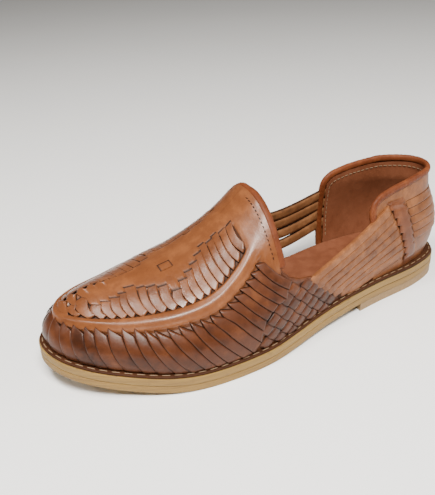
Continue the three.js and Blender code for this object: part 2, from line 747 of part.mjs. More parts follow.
const leather = (color, roughness) => new THREE.MeshStandardMaterial({ color, roughness, metalness: 0 });
const chestnut = leather('#9a5530', 0.35);
const bindingTan = leather('#b5714f', 0.45);
const lining = leather('#94583c', 0.6);
const soleTan = leather('#c49a5e', 0.7);
const weltBrown = leather('#6d4128', 0.6);
const rubberGrey = leather('#8b8074', 0.8);

const flush = () => 0;
const outsole = sheet(flush, soleBottom, (s) => soleBottom(s) + outsoleThickness);
const midsole = sheet(flush, midsoleBottom, (s) => midsoleBottom(s) + midsoleThickness);
const weltMiddle = sheet(() => weltWidth, (s) => weltBottom(s) - clearance, (s) => weltTop(s) + clearance);
const welt = sheet(flush, weltBottom, weltTop).subtract(weltMiddle);
const heelLift = sheet(() => clearance, () => 0, (s) => soleBottom(s) - clearance, heelLiftLength);

// The insole follows the inside of the upper and steps down into the middle of the welt.
const insideUpper = (turn) => {
  const along = outlinePoint(turn).s / soleLength;
  return edgeShow * reading(formRows, 'along', 'inset', along) + wall + 3 * clearance;
};
const insoleTop = (s) => feather(s) + insoleThickness;
const insole = sheet(insideUpper, feather, insoleTop)
  .add(sheet(() => weltWidth + clearance, weltBottom, (s) => feather(s) + insoleThickness / 2));

const shoe = new THREE.Group();
shoe.add(piece('heel_lift', heelLift, rubberGrey));
shoe.add(piece('outsole', outsole, soleTan));
shoe.add(piece('midsole', midsole, soleTan));
shoe.add(piece('welt', welt, weltBrown));
shoe.add(piece('insole', insole, lining));
shoe.add(piece('upper', makeUpper(), chestnut));
shoe.add(piece('throat_binding', makeThroatBinding(), bindingTan));
shoe.add(piece('counter_binding', makeCounterBinding(), bindingTan));

export default shoe;
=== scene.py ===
# %% [markdown]
# # A woven leather huarache sandal
#
# One left shoe stands on a pale floor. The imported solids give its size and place. This script lays the
# fine surface over them: the plaited strips, the rolled bindings, the stitches and the leather itself.
# Lengths are in millimetres until `build` turns them into metres. The toe points along -Y.
#
# First the solids are loaded, and their box is measured before anything is laid over them. Strips of
# real leather differ a little, so the random numbers start from a fixed seed and are the same in every
# run.

import bmesh
import bpy
import numpy as np
from mathutils import Matrix, Vector


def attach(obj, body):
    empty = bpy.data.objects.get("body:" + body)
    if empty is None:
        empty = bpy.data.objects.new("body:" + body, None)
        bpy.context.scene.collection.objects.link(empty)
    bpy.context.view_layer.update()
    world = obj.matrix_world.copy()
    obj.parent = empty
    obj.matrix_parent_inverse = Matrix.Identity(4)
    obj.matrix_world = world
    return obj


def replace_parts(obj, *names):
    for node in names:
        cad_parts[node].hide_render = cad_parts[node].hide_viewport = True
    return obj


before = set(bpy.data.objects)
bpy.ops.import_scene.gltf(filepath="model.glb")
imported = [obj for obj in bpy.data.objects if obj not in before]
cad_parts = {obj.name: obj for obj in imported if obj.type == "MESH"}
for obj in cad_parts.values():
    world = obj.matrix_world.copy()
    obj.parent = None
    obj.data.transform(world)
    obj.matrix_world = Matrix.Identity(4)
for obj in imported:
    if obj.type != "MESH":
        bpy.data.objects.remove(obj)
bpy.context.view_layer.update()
seed = np.random.default_rng(7)
print("solids:", sorted(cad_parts))

# %% [markdown]
# ## Sizes and tables
#
# A shoemaker starts from a last, the wooden form of the foot, and from a few lengths measured on it.
# These are the same values as in the solids, so that every surface here lies on its solid. `along` is
# always the distance from the back of the heel as a share of the sole's length. Columns after it are
# shares of one of the named sizes.
#
# - `OUTLINE`: a row for each step round the sole, with its reach in ball widths and in heel widths
# - `SOLE`: along, lift at the heel, spring at the toe
# - `CROWN`: along, height of the top in insteps, and in toe boxes
# - `FORM`: along, middle line, fullness of side and rise, swell of the wall and its peak, inset of the foot
# - `RIDGE`: turn round the toe and the height of the ridge
# - `TOP`: along and height of the upper's cut edge, outer side (1) and inner side (-1)

# %% Sizes
SOLE_LENGTH = 288.0
BALL_WIDTH = 105.0
HEEL_WIDTH = 66.0
HEEL_TO_ORIGIN = 42.0
OUTSOLE, MIDSOLE, WELT, INSOLE = 4.4, 4.6, 1.4, 2.0
HEEL_LIFT = 5.8
TOE_SPRING = 13.4
INSTEP, TOE_BOX, COUNTER = 92.0, 53.0, 77.0
EDGE_SHOW, BULGE, WALL = 5.0, 5.0, 2.0
RIDGE_RISE, STRIP_PITCH = 1.15, 7.0
GAP = 0.3
SLANT, SLANT_AT_TOE, SLANT_GROWTH = 2.8, 0.3, 0.07
MIDDLE_START, MIDDLE_END = 0.11, 0.826

OUTLINE = np.array([
    [0.0, 0.015], [0.0, 0.305], [0.0, 0.459], [0.02, 0.506], [0.252, 0.273], [0.481, 0.091],
    [0.529, 0.0], [0.386, 0.0], [0.205, 0.0], [-0.014, 0.0], [-0.205, 0.0], [-0.352, 0.0],
    [-0.452, 0.0], [-0.305, -0.091], [-0.081, -0.273], [0.0, -0.462], [0.0, -0.447], [0.0, -0.27]])
SOLE = np.array([
    [0.0, 1.0, 0.0], [0.29, 1.0, 0.0], [0.38, 0.79, 0.0], [0.486, 0.33, 0.0], [0.56, 0.06, 0.0],
    [0.6, 0.0, 0.0], [0.71, 0.0, 0.0], [0.75, 0.0, 0.035], [0.816, 0.0, 0.19], [0.903, 0.0, 0.52],
    [0.955, 0.0, 0.77], [1.0, 0.0, 1.0]])
CROWN = np.array([
    [-0.03, 1.39, 0.0], [0.07, 1.41, 0.0], [0.174, 1.4, 0.0], [0.278, 1.35, 0.0], [0.382, 1.25, 0.0],
    [0.47, 1.13, 0.0], [0.531, 1.01, 0.0], [0.573, 0.895, 0.0], [0.615, 0.795, 0.0], [0.684, 0.45, 0.4],
    [0.753, 0.12, 0.873], [0.833, 0.0, 1.0], [0.91, 0.0, 0.99], [1.0, 0.0, 0.975]])
FORM = np.array([
    [0.0, 0.01, 2.6, 2.3, 0.96, 0.42, 1.3], [0.1, 0.014, 2.6, 2.3, 0.96, 0.42, 0.96],
    [0.21, 0.019, 2.5, 2.2, 0.5, 0.45, 0.7], [0.38, 0.028, 2.3, 2.0, 0.3, 0.6, 0.5],
    [0.53, 0.028, 2.2, 1.9, 0.3, 0.7, 0.55], [0.69, 0.019, 2.25, 2.0, 0.5, 0.7, 0.6],
    [0.83, 0.005, 2.3, 2.2, 0.6, 0.75, 0.8], [1.0, -0.02, 2.3, 2.2, 0.3, 0.75, 1.0]])
RIDGE = np.array([
    [0, 0.52], [90, 0.6], [98, 0.635], [102, 0.585], [106, 0.535], [112, 0.485], [123, 0.46], [134, 0.455],
    [160, 0.44], [180, 0.42]])
TOP = {
    1: np.array([
        [0.532, 1.6, 0.0], [0.532, 0.62, 0.0], [0.526, 0.58, 0.0], [0.51, 0.53, 0.0], [0.486, 0.495, 0.0],
        [0.452, 0.48, 0.0], [0.4, 0.495, 0.0], [0.34, 0.535, 0.0], [0.295, 0.575, 0.0], [0.262, 0.61, 0.0],
        [0.254, 0.625, 0.0], [0.252, 0.0, 0.86], [0.246, 0.0, 0.91], [0.23, 0.0, 0.945], [0.19, 0.0, 0.975],
        [0.12, 0.0, 1.0], [0.0, 0.0, 1.0]]),
    -1: np.array([
        [0.532, 1.6, 0.0], [0.532, 0.72, 0.0], [0.526, 0.68, 0.0], [0.512, 0.65, 0.0], [0.486, 0.63, 0.0],
        [0.43, 0.62, 0.0], [0.36, 0.635, 0.0], [0.3, 0.66, 0.0], [0.263, 0.68, 0.0], [0.255, 0.69, 0.0],
        [0.253, 0.0, 0.87], [0.246, 0.0, 0.91], [0.23, 0.0, 0.94], [0.19, 0.0, 0.965], [0.12, 0.0, 0.99],
        [0.0, 0.0, 1.0]]),
}
THROAT = 0.532 * SOLE_LENGTH
print(f"sole {SOLE_LENGTH} long and {BALL_WIDTH} wide at the ball, throat {THROAT:.1f} from the heel")

# %% [markdown]
# ## The form of the shoe
#
# A table could be joined by straight lines, but they would show as kinks in shiny leather. So it is
# read by a smooth curve through its rows.

# %% Reading a table
def reading(rows, column, x):
    """Cubic pieces with shared slopes: y = h00 y0 + h10 d m0 + h01 y1 + h11 d m1, d being the span."""
    key, value = rows[:, 0], rows[:, column]
    slope = np.empty(len(key))
    slope[1:-1] = (value[2:] - value[:-2]) / (key[2:] - key[:-2])
    slope[0] = (value[1] - value[0]) / (key[1] - key[0])
    slope[-1] = (value[-1] - value[-2]) / (key[-1] - key[-2])
    x = np.clip(x, key[0], key[-1])
    i = np.clip(np.searchsorted(key, x) - 1, 0, len(key) - 2)
    d = key[i + 1] - key[i]
    t = (x - key[i]) / d
    t2, t3 = t * t, t * t * t
    return ((2 * t3 - 3 * t2 + 1) * value[i] + (t3 - 2 * t2 + t) * d * slope[i]
            + (3 * t2 - 2 * t3) * value[i + 1] + (t3 - t2) * d * slope[i + 1])


def smooth(t):
    """Soft step: 3 t^2 - 2 t^3 between 0 and 1."""
    t = np.clip(t, 0, 1)
    return t * t * (3 - 2 * t)


print("top of the instep:", round(float(reading(CROWN, 1, 0.5) * INSTEP), 1))

# %% [markdown]
# The outline of the sole is a closed curve. One turn of 360 degrees runs from the back of the heel
# along the outer side to the toe and back along the inner side, so one angle names every place round
# the shoe. Each layer and the foot of the upper are the same curve moved inwards.

# %% The outline of the sole
def outline_point(turn):
    """x by a closed curve through the outline rows, s = L (1 - cos turn) / 2 from the back of the heel."""
    count = len(OUTLINE)
    row = OUTLINE @ np.array([BALL_WIDTH, HEEL_WIDTH])
    place = np.mod(np.asarray(turn, float) / 360 * count, count)
    i = np.floor(place).astype(int)
    t = place - i
    a, b, c, d = (row[(i + k) % count] for k in (-1, 0, 1, 2))
    x = 0.5 * (2 * b + (c - a) * t + (2 * a - 5 * b + 4 * c - d) * t * t + (3 * b - a - 3 * c + d) * t ** 3)
    return x, SOLE_LENGTH * (1 - np.cos(np.radians(turn))) / 2


def inset_point(turn, inset):
    """Outline moved inwards by inset along its normal (ds, -dx)."""
    x, s = outline_point(turn)
    xa, sa = outline_point(turn - 0.5)
    xb, sb = outline_point(turn + 0.5)
    dx, ds = xb - xa, sb - sa
    length = np.hypot(dx, ds)
    return x - inset * ds / length, s + inset * dx / length


outline_x = outline_point(np.arange(360.0))[0]
print(f"the outline reaches from {outline_x.min():.1f} to {outline_x.max():.1f} across")

# %% [markdown]
# The sole rests on the heel and the ball. Between them it is arched, and at the toe it springs up for
# the step. Its layers are stacked, so each one's lower face is the one below plus a thickness and a gap
# of a hair.

# %% Heights of the sole
def sole_bottom(s):
    """Lift at the heel and spring at the toe."""
    along = s / SOLE_LENGTH
    return (HEEL_LIFT * np.maximum(reading(SOLE, 1, along), 0)
            + TOE_SPRING * np.maximum(reading(SOLE, 2, along), 0))


def midsole_bottom(s):
    """One gap above the outsole."""
    return sole_bottom(s) + OUTSOLE + GAP


def welt_bottom(s):
    """One gap above the midsole."""
    return midsole_bottom(s) + MIDSOLE + GAP


def feather(s):
    """Foot of the upper: one gap above the welt."""
    return welt_bottom(s) + WELT + GAP


print("foot of the upper at heel, ball and toe:", np.round(feather(np.array([5.0, 190.0, 280.0])), 1))

# %% [markdown]
# The upper is a curved sheet pulled over the last. Two numbers give every point of it: the turn round
# the outline and the rise, 0 at the sole and 1 on the middle line of the foot. A section across is a
# rounded arch, a power of sine and cosine as in a superellipse, which is fuller or flatter from heel to
# toe.

# %% The upper's surface
def upper_point(turn, rise):
    """Q = M + (O - M) cos(rise)^(2/side), z = foot + (crown - foot) sin(rise)^(2/power), with O on the
    outline and M on the middle line, and a swell of the wall added outwards."""
    turn, rise = np.broadcast_arrays(np.asarray(turn, float), np.asarray(rise, float))
    base_s = outline_point(turn)[1]
    foot_x, foot_s = inset_point(turn, EDGE_SHOW * reading(FORM, 6, base_s / SOLE_LENGTH))
    share = foot_s / SOLE_LENGTH
    half_span = (MIDDLE_END - MIDDLE_START) / 2
    middle_share = (MIDDLE_START + MIDDLE_END) / 2 - half_span * np.cos(np.radians(turn))
    middle_x, middle_s = BALL_WIDTH * reading(FORM, 1, middle_share), middle_share * SOLE_LENGTH
    angle = rise * np.pi / 2
    reach = np.maximum(np.cos(angle), 0) ** (2 / reading(FORM, 2, share))
    height = np.maximum(np.sin(angle), 0) ** (2 / reading(FORM, 3, share))
    dx, ds = foot_x - middle_x, foot_s - middle_s
    away = np.hypot(dx, ds)
    swell = BULGE * reading(FORM, 4, share) * np.sin(np.pi * np.minimum(height / reading(FORM, 5, share), 1))
    x = middle_x + dx * reach + dx / away * swell
    s = middle_s + ds * reach + ds / away * swell
    crown = INSTEP * reading(CROWN, 1, s / SOLE_LENGTH) + TOE_BOX * reading(CROWN, 2, s / SOLE_LENGTH)
    foot = feather(foot_s)
    return np.stack([x, s, foot + (crown - foot) * height], -1)


def unit(v):
    """Vectors of length one."""
    return v / np.maximum(np.linalg.norm(v, axis=-1, keepdims=True), 1e-12)


def upper_normal(turn, rise):
    """Outward normal from the two tangents of upper_point."""
    rise = np.clip(rise, 0.004, 0.994)
    a = upper_point(turn + 0.4, rise) - upper_point(turn - 0.4, rise)
    b = upper_point(turn, rise + 0.004) - upper_point(turn, rise - 0.004)
    return unit(np.cross(a, b))


def on_upper(turn, rise, lift):
    """Surface point moved out by lift along the normal."""
    return upper_point(turn, rise) + upper_normal(turn, rise) * np.asarray(lift)[..., None]


print("a point of the outer side:", np.round(on_upper(100.0, 0.4, 0.0), 1))

# %% [markdown]
# The pattern is measured in places seen from the side, such as so far from the heel and so high. A
# formula for the turn and rise of such a place would be long. Halving an interval a few dozen times
# finds it for all points at once.

# %% Finding a place on the surface
HALVINGS, COARSE_HALVINGS = 26, 20
ROUNDS = 6


def turn_at(side, s, rise):
    """Turn on one side where the surface reaches the distance s, by halving."""
    s, rise = np.broadcast_arrays(np.asarray(s, float), np.asarray(rise, float))
    low = np.full(s.shape, 0.0 if side > 0 else 360.0)
    high = np.full(s.shape, 180.0)
    for _ in range(HALVINGS):
        mid = (low + high) / 2
        short = upper_point(mid, rise)[..., 1] < s
        low, high = np.where(short, mid, low), np.where(short, high, mid)
    return (low + high) / 2


def rise_on(turn, z):
    """Rise where the surface reaches the height z at a turn, by halving."""
    turn, z = np.broadcast_arrays(np.asarray(turn, float), np.asarray(z, float))
    low, high = np.zeros(z.shape), np.full(z.shape, 0.999)
    for _ in range(HALVINGS):
        mid = (low + high) / 2
        short = upper_point(turn, mid)[..., 2] < z
        low, high = np.where(short, mid, low), np.where(short, high, mid)
    return (low + high) / 2


def on_side(side, s, z):
    """(turn, rise) of the point of one side at distance s and height z: a few rounds of both halvings."""
    s, z = np.broadcast_arrays(np.asarray(s, float), np.asarray(z, float))
    rise = np.full(s.shape, 0.25)
    # Only a part of each correction is taken, so that the two halvings settle together.
    for _ in range(ROUNDS):
        turn = turn_at(side, s, rise)
        rise = 0.3 * rise + 0.7 * rise_on(turn, z)
    return turn_at(side, s, rise), rise


def run_of(points):
    """Length run along a row of points, from 0."""
    return np.concatenate([[0], np.cumsum(np.linalg.norm(np.diff(points, axis=0), axis=1))])


print("turn and rise of s 120, z 40:", [round(float(v), 2) for v in on_side(1, 120.0, 40.0)])

# %% [markdown]
# ## Pattern places
#
# The plaiting is counted along the ridge from the toe, in steps of one strip. Below the ridge a strip
# leans backwards on its way down. Above it a strip runs straight across the foot to the plain panel.

# %% The ridge
def ridge_rise(turn):
    """Rise of the ridge, the same on both sides."""
    return reading(RIDGE, 1, np.where(turn > 180, 360 - turn, turn))


PAST_TOE = 30
ridge_turns = np.arange(180.0 + PAST_TOE, -1.0, -1.0)
ridge_run = run_of(upper_point(ridge_turns, ridge_rise(ridge_turns)))
ridge_run -= ridge_run[PAST_TOE]
print(f"the ridge is {np.interp(-98, -ridge_turns, ridge_run):.0f} long from the toe to the throat")


def ridge_turn(index):
    """Turn where the ridge has passed that many strips from the toe."""
    return np.interp(np.asarray(index) * STRIP_PITCH, ridge_run, ridge_turns)


def wall_place(index, share, side):
    """Place below the ridge: share is 0 at the sole, 1 on the ridge, and lower strips lie further back."""
    index, share = np.broadcast_arrays(np.asarray(index, float), np.asarray(share, float))
    growth = smooth(index) * np.minimum(SLANT_AT_TOE + SLANT_GROWTH * index, 1)
    turn = ridge_turn(index + SLANT * np.maximum(0.87 - share, 0) * growth)
    rise = ridge_rise(ridge_turn(index)) * share
    if side < 0:
        turn = turn_at(-1, upper_point(turn, rise)[..., 1], rise)
    return turn, rise


def middle_rise(s):
    """Rise at which the surface reaches the middle line at a distance s, by halving at the toe."""
    s = np.asarray(s, float)
    low, high = np.zeros(s.shape), np.ones(s.shape)
    for _ in range(HALVINGS):
        mid = (low + high) / 2
        beyond = upper_point(180.0, mid)[..., 1] > s
        low, high = np.where(beyond, mid, low), np.where(beyond, high, mid)
    return np.where(s > MIDDLE_END * SOLE_LENGTH, (low + high) / 2, 0.9995)


def rise_at_x(s, x):
    """Rise where the top of the outer side is x away from the middle line at the distance s, by halving."""
    low, high = np.full(s.shape, 0.3), middle_rise(s)
    middle = upper_point(turn_at(1, s, high), high)[..., 0]
    for _ in range(COARSE_HALVINGS):
        mid = (low + high) / 2
        wide = upper_point(turn_at(1, s, mid), mid)[..., 0] - middle > x
        low, high = np.where(wide, mid, low), np.where(wide, high, mid)
    return (low + high) / 2


print("rise 14 from the middle line at s 200:", np.round(rise_at_x(np.array([200.0]), 14.0), 3))

# %% [markdown]
# ## Building meshes
#
# Every surface is a grid of points, a function of two parameters. Many strips make one piece, so grids
# are piled up first and handed to Blender together. Each point carries a tone, since no two strips take
# the dye alike, and an edge value, since cut borders are darker. Both also carry painted shade: the edge
# value darkens the gaps between strips, the slits and the sunk sheet, and the tone is lowered where the
# sheet sinks under the strips. A face shows its front to one side only: the builder turns each grid so
# that its front looks out. Points that meet, as at a pole or between two grids, are merged at the end.

# %% Mesh builder
MERGE_METRES = 2e-6


class Pile:
    """Grids of points that become one mesh, each with a tone (0 to 1), an edge (1 at borders and where shade
    is painted) and a uv.
    """

    def __init__(self):
        self.points, self.faces, self.tones, self.edges, self.uvs = [], [], [], [], []
        self.count = 0

    def grid(self, p, tone=0.5, edge=0.0, wrap=(False, False), facing=1):
        """p has shape (..., rows, columns, 3), and leading axes are separate copies. Faces look away from
        the middle of the shoe (facing 1), towards it (-1), along a given direction, or out of a closed
        tube."""
        p = np.asarray(p, float)
        rows, columns = p.shape[-3:-1]
        copies = p.reshape(-1, rows, columns, 3)
        r = np.arange(rows if wrap[0] else rows - 1)
        c = np.arange(columns if wrap[1] else columns - 1)
        r, c = np.meshgrid(r, c, indexing="ij")
        r1, c1 = (r + 1) % rows, (c + 1) % columns
        quad = np.stack([r * columns + c, r * columns + c1, r1 * columns + c1, r1 * columns + c], -1)
        quad = quad.reshape(-1, 4)
        corner = copies.reshape(len(copies), -1, 3)[:, quad]
        centre = corner.mean(2)
        across = np.cross(corner[:, :, 2] - corner[:, :, 0], corner[:, :, 3] - corner[:, :, 1])
        if np.ndim(facing):
            out = facing + 0 * centre
        elif wrap[1]:
            out = centre - copies.mean(2)[:, r.ravel()]
        else:
            out = (centre - np.stack(self.middle(centre[..., 1]), -1)) * facing
        # s runs against Y, which turns every face over once more.
        turned = (across * out).sum((1, 2)) > 0
        quad = np.where(turned[:, None, None], quad[:, ::-1], quad)
        offsets = self.count + np.arange(len(copies)) * rows * columns
        self.faces.append((quad + offsets[:, None, None]).reshape(-1, 4))
        self.points.append(copies.reshape(-1, 3))
        for kept, value in ((self.tones, tone), (self.edges, edge)):
            kept.append(np.broadcast_to(value, p.shape[:-1]).reshape(-1))
        u, v = np.meshgrid(np.linspace(0, 1, rows), np.linspace(0, 1, columns), indexing="ij")
        self.uvs.append(np.broadcast_to(np.stack([u, v], -1), p.shape[:-1] + (2,)).reshape(-1, 2))
        self.count += len(copies) * rows * columns

    @staticmethod
    def middle(s):
        """Line inside the shoe that its walls look away from."""
        return 0 * s + 3, np.clip(s, 45, 235), 0 * s + 20

    def build(self, name, material):
        """One object in metres with the pile's attributes, riding on the shoe."""
        p = np.concatenate(self.points)
        world = np.stack([p[:, 0], HEEL_TO_ORIGIN - p[:, 1], p[:, 2]], -1) / 1000
        faces = np.concatenate(self.faces)
        mesh = bpy.data.meshes.new(name)
        mesh.from_pydata(world.tolist(), [], faces.tolist())
        for label, values in (("tone", self.tones), ("edge", self.edges)):
            made = mesh.attributes.new(label, "FLOAT", "POINT")
            made.data.foreach_set("value", np.concatenate(values).astype("f"))
        corners = np.empty(len(mesh.loops), int)
        mesh.loops.foreach_get("vertex_index", corners)
        layer = mesh.uv_layers.new(name="UVMap")
        layer.data.foreach_set("uv", np.concatenate(self.uvs)[corners].astype("f").ravel())
        mesh.polygons.foreach_set("use_smooth", np.ones(len(mesh.polygons), bool))
        mesh.materials.append(material)
        work = bmesh.new()
        work.from_mesh(mesh)
        bmesh.ops.remove_doubles(work, verts=work.verts, dist=MERGE_METRES)
        work.to_mesh(mesh)
        work.free()
        made = bpy.data.objects.new(name, mesh)
        bpy.context.scene.collection.objects.link(made)
        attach(made, "root")
        print(f"{name}: {len(mesh.vertices)} points, {len(mesh.polygons)} faces, {material.name}")
        return made


# %% [markdown]
# ## Shader maths
#
# A material in Blender is a graph of nodes. Drawn by hand, a formula soon becomes a tangle of Math
# nodes. Here one small class wraps a node's output socket and overloads the operators, so that a
# formula can be written as a formula, such as `1 - mask`, and each operator adds its own Math node.

# %% Shader wrapper
class Socket:
    """One output of a node, with arithmetic that makes Math nodes."""

    def __init__(self, tree, out):
        self.tree = tree
        self.out = out

    def math(self, kind, *others):
        """Math node of that kind."""
        node = self.tree.nodes.new("ShaderNodeMath")
        node.operation = kind
        for slot, value in zip(node.inputs, (self, *others)):
            plug(self.tree, slot, value)
        return Socket(self.tree, node.outputs[0])

    def __add__(self, other):
        return self.math("ADD", other)

    def __radd__(self, other):
        return self.math("ADD", other)

    def __sub__(self, other):
        return self.math("SUBTRACT", other)

    def __rsub__(self, other):
        return (self * -1).math("ADD", other)

    def __mul__(self, other):
        return self.math("MULTIPLY", other)

    def __rmul__(self, other):
        return self.math("MULTIPLY", other)

    def __truediv__(self, other):
        return self.math("DIVIDE", other)

    def __pow__(self, other):
        return self.math("POWER", other)

    def clamp(self):
        """Value held between 0 and 1."""
        node = self.tree.nodes.new("ShaderNodeClamp")
        plug(self.tree, node.inputs[0], self)
        return Socket(self.tree, node.outputs[0])

    def step(self, low, high):
        """Soft step between two values."""
        node = self.tree.nodes.new("ShaderNodeMapRange")
        node.interpolation_type = "SMOOTHSTEP"
        plug(self.tree, node.inputs["Value"], self)
        node.inputs["From Min"].default_value = low
        node.inputs["From Max"].default_value = high
        return Socket(self.tree, node.outputs["Result"])


def plug(tree, slot, value):
    """Link a socket or set a plain value."""
    if isinstance(value, Socket):
        tree.links.new(value.out, slot)
    else:
        slot.default_value = value


class Shader:
    """A new material with its Principled shader."""

    def __init__(self, name):
        self.material = bpy.data.materials.new(name)
        self.material.use_nodes = True
        self.tree = self.material.node_tree
        self.surface = self.tree.nodes["Principled BSDF"]
        self.object = self.node("ShaderNodeTexCoord", output="Object")

    def node(self, kind, output=0, **values):
        """Any node: keyword values set or link its inputs, and props_ ones set its properties."""
        made = self.tree.nodes.new(kind)
        for key, value in values.items():
            if key.startswith("props_"):
                setattr(made, key[6:], value)
        for key, value in values.items():
            if not key.startswith("props_"):
                plug(self.tree, made.inputs[key.replace("_", " ")], value)
        return Socket(self.tree, made.outputs[output])

    def attribute(self, name):
        """One number stored at the vertices."""
        return self.node("ShaderNodeAttribute", output="Fac", props_attribute_name=name)

    def noise(self, scale, detail=3.0, roughness=0.5, vector=None):
        """Noise between 0 and 1, scale in waves per metre."""
        return self.node("ShaderNodeTexNoise", Vector=vector or self.object, Scale=scale, Detail=detail,
                         Roughness=roughness)

    def stretch(self, x, y, z):
        """Object coordinates scaled along each axis."""
        return self.node("ShaderNodeMapping", Vector=self.object, Scale=(x, y, z))

    def mix(self, factor, a, b):
        """Colour between a and b."""
        made = self.tree.nodes.new("ShaderNodeMix")
        made.data_type = "RGBA"
        plug(self.tree, made.inputs[0], factor)
        plug(self.tree, made.inputs[6], a if isinstance(a, Socket) else (*a, 1))
        plug(self.tree, made.inputs[7], b if isinstance(b, Socket) else (*b, 1))
        return Socket(self.tree, made.outputs[2])

    def bump(self, height, distance):
        """Bump to the shader's normal, distance in metres."""
        self.set(Normal=self.node("ShaderNodeBump", Distance=distance, Height=height))

    def set(self, **values):
        """Inputs of the Principled shader."""
        for key, value in values.items():
            plug(self.tree, self.surface.inputs[key.replace("_", " ")], value)


print("shader wrapper ready")

# %% [markdown]
# ## Leathers
#
# The strips are vegetable-tanned leather, wiped with brown dye and waxed. The dye lies in clouds and
# pools darker at the cut borders, and the wax gives a soft gloss that the borders lack. The same border
# darkening also paints shade: the edge value darkens the gaps between strips, the slits and the sunk
# sheet, where shade falls. All the leathers share one recipe: a level from 0 to 1 is summed from the
# strip's tone and from noises of several sizes, and picks between three colours. Pores and fibres are
# far smaller than a face of the mesh, so they go into the bump.

# %% Leathers
PORE_DEPTH = 0.00009
BORDER_SHADE = 0.22


def leather(name, dark, mid, light, gloss, grain=PORE_DEPTH, coat=0.0, edge_dark=0.55, shine=0.24):
    """level = tone / 2 + a sum of noises - 0.17. Colour: dark to mid to light by the level, then darkened
    by the border = step of the edge, which holds dark cut borders and painted shade in gaps and slits.
    Roughness: gloss + clouds + 0.4 border."""
    m = Shader(name)
    tone = m.attribute("tone")
    edge = m.attribute("edge")
    cloud = m.noise(38.0, 4.0, 0.6).step(0.3, 0.7)
    mottle = m.noise(150.0, 4.0, 0.65).step(0.32, 0.68)
    fine = m.noise(420.0, 3.0, 0.6)
    fibre = m.noise(1500.0, 2.0, 0.5)
    level = (tone * 0.5 + cloud * 0.34 + mottle * 0.30 + fine * 0.2 - 0.17).clamp()
    colour = m.mix(level.step(0.0, 0.5), dark, mid)
    colour = m.mix(level.step(0.45, 1.0), colour, light)
    border = edge.step(0.35, 0.95)
    # A dark colour is mixed in at the border: dark cut borders and painted shade in gaps, slits and sunk
    # sheet.
    colour = m.mix(border * edge_dark, colour, tuple(v * BORDER_SHADE for v in dark))
    roughness = gloss + (cloud - 0.5) * 0.15 + (fine - 0.5) * 0.1 + border * 0.4
    m.set(Base_Color=colour, Roughness=roughness.clamp(), Coat_Weight=(1 - border) * coat,
          Specular_IOR_Level=shine, Coat_Roughness=0.25)
    m.bump(fibre * 0.5 + fine * 0.8 + mottle * 0.8, grain)
    print("finish:", name, "with", len(m.tree.nodes), "nodes")
    return m.material


strip_leather = leather("strip_leather", (0.022, 0.006, 0.002), (0.060, 0.0165, 0.005), (0.12, 0.037, 0.011),
                        0.38, coat=0.10, edge_dark=0.97, shine=0.2)
strap_leather = leather("strap_leather", (0.062, 0.020, 0.007), (0.15, 0.053, 0.018), (0.25, 0.097, 0.036),
                        0.42, coat=0.04, edge_dark=0.9, shine=0.2)
vamp_leather = leather("vamp_leather", (0.080, 0.024, 0.007), (0.135, 0.043, 0.013), (0.20, 0.068, 0.021),
                       0.36, coat=0.14, edge_dark=0.97, shine=0.3)
vamp_strip_leather = leather("vamp_strip_leather", (0.058, 0.017, 0.005), (0.12, 0.038, 0.012),
                             (0.19, 0.066, 0.022), 0.35, coat=0.14, edge_dark=0.97, shine=0.3)
inner_leather = leather("inner_leather", (0.06, 0.018, 0.006), (0.12, 0.037, 0.012), (0.18, 0.06, 0.022),
                        0.6)
binding_leather = leather("binding_leather", (0.065, 0.016, 0.005), (0.11, 0.029, 0.010),
                          (0.17, 0.050, 0.016), 0.52, edge_dark=0.3, shine=0.14)
lining_leather = leather("lining_leather", (0.12, 0.039, 0.018), (0.15, 0.051, 0.024), (0.18, 0.064, 0.031),
                         0.55)
raw_leather = leather("raw_leather", (0.06, 0.023, 0.008), (0.14, 0.056, 0.019), (0.24, 0.105, 0.040), 0.75,
                      grain=0.00015)


# %% [markdown]
# ## The sole
#
# The sole is two layers of thick leather, cut to the outline and ground flush, so their pale cut edges
# show, with dark glue lines between them. A slab with a Bevel modifier could make each layer. Sweeping
# an edge profile round the outline does it in one step and keeps the mesh light: each layer is a ring
# of rounded edge round two faces.

# %% Layers of the sole
RING = 9.0
SHANK = 118


def layer(name, material, inset, lower, upper, node, radius=0.5):
    """Edge profile swept round the outline, then ladders of rungs over the underside and the top. The
    profile is two quarter circles: out = radius (1 - sin a) and (1 - cos a), with a from 0 to 90 degrees.
    The glue lines show at the heel and fade before the shank."""
    pile = Pile()
    turns = np.linspace(0, 360, 289)
    a = np.linspace(0, np.pi / 2, 4)
    out = np.concatenate([[RING], radius * (1 - np.sin(a)), radius * (1 - np.cos(a)), [RING]]) + inset
    part = np.array([0, 0, 0, 0, 0, 1, 1, 1, 1, 1.0])
    off = np.concatenate([[0.0], radius * (1 - np.cos(a)), -radius * (1 - np.sin(a)), [0.0]])
    x, s = inset_point(turns[:, None], out[None, :])
    z = lower(s) * (1 - part) + upper(s) * part + off
    joint = np.array([0, 1, 0.6, 0, 0, 0, 0, 0.6, 1, 0.0]) * smooth((SHANK - s) / 40)
    pile.grid(np.stack([x, s, z], -1), edge=joint)
    half = np.linspace(0, 180, 145)
    across = np.linspace(0, 1, 9)
    for top in (False, True):
        xa, sa = inset_point(half, inset + RING)
        xb, sb = inset_point(360 - half, inset + RING)
        gx = xa[:, None] * (1 - across) + xb[:, None] * across
        gs = sa[:, None] * (1 - across) + sb[:, None] * across
        pile.grid(np.stack([gx, gs, upper(gs) if top else lower(gs)], -1), facing=(0, 0, 1 if top else -1))
    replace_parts(pile.build(name, material), node)


print("each layer's ring is", RING, "wide, its glue line ends at", SHANK)

# %% [markdown]
# The cut edge of sole leather shows its fibres as long thin streaks. The noise is stretched for that:
# few waves along the shoe and many across its height.

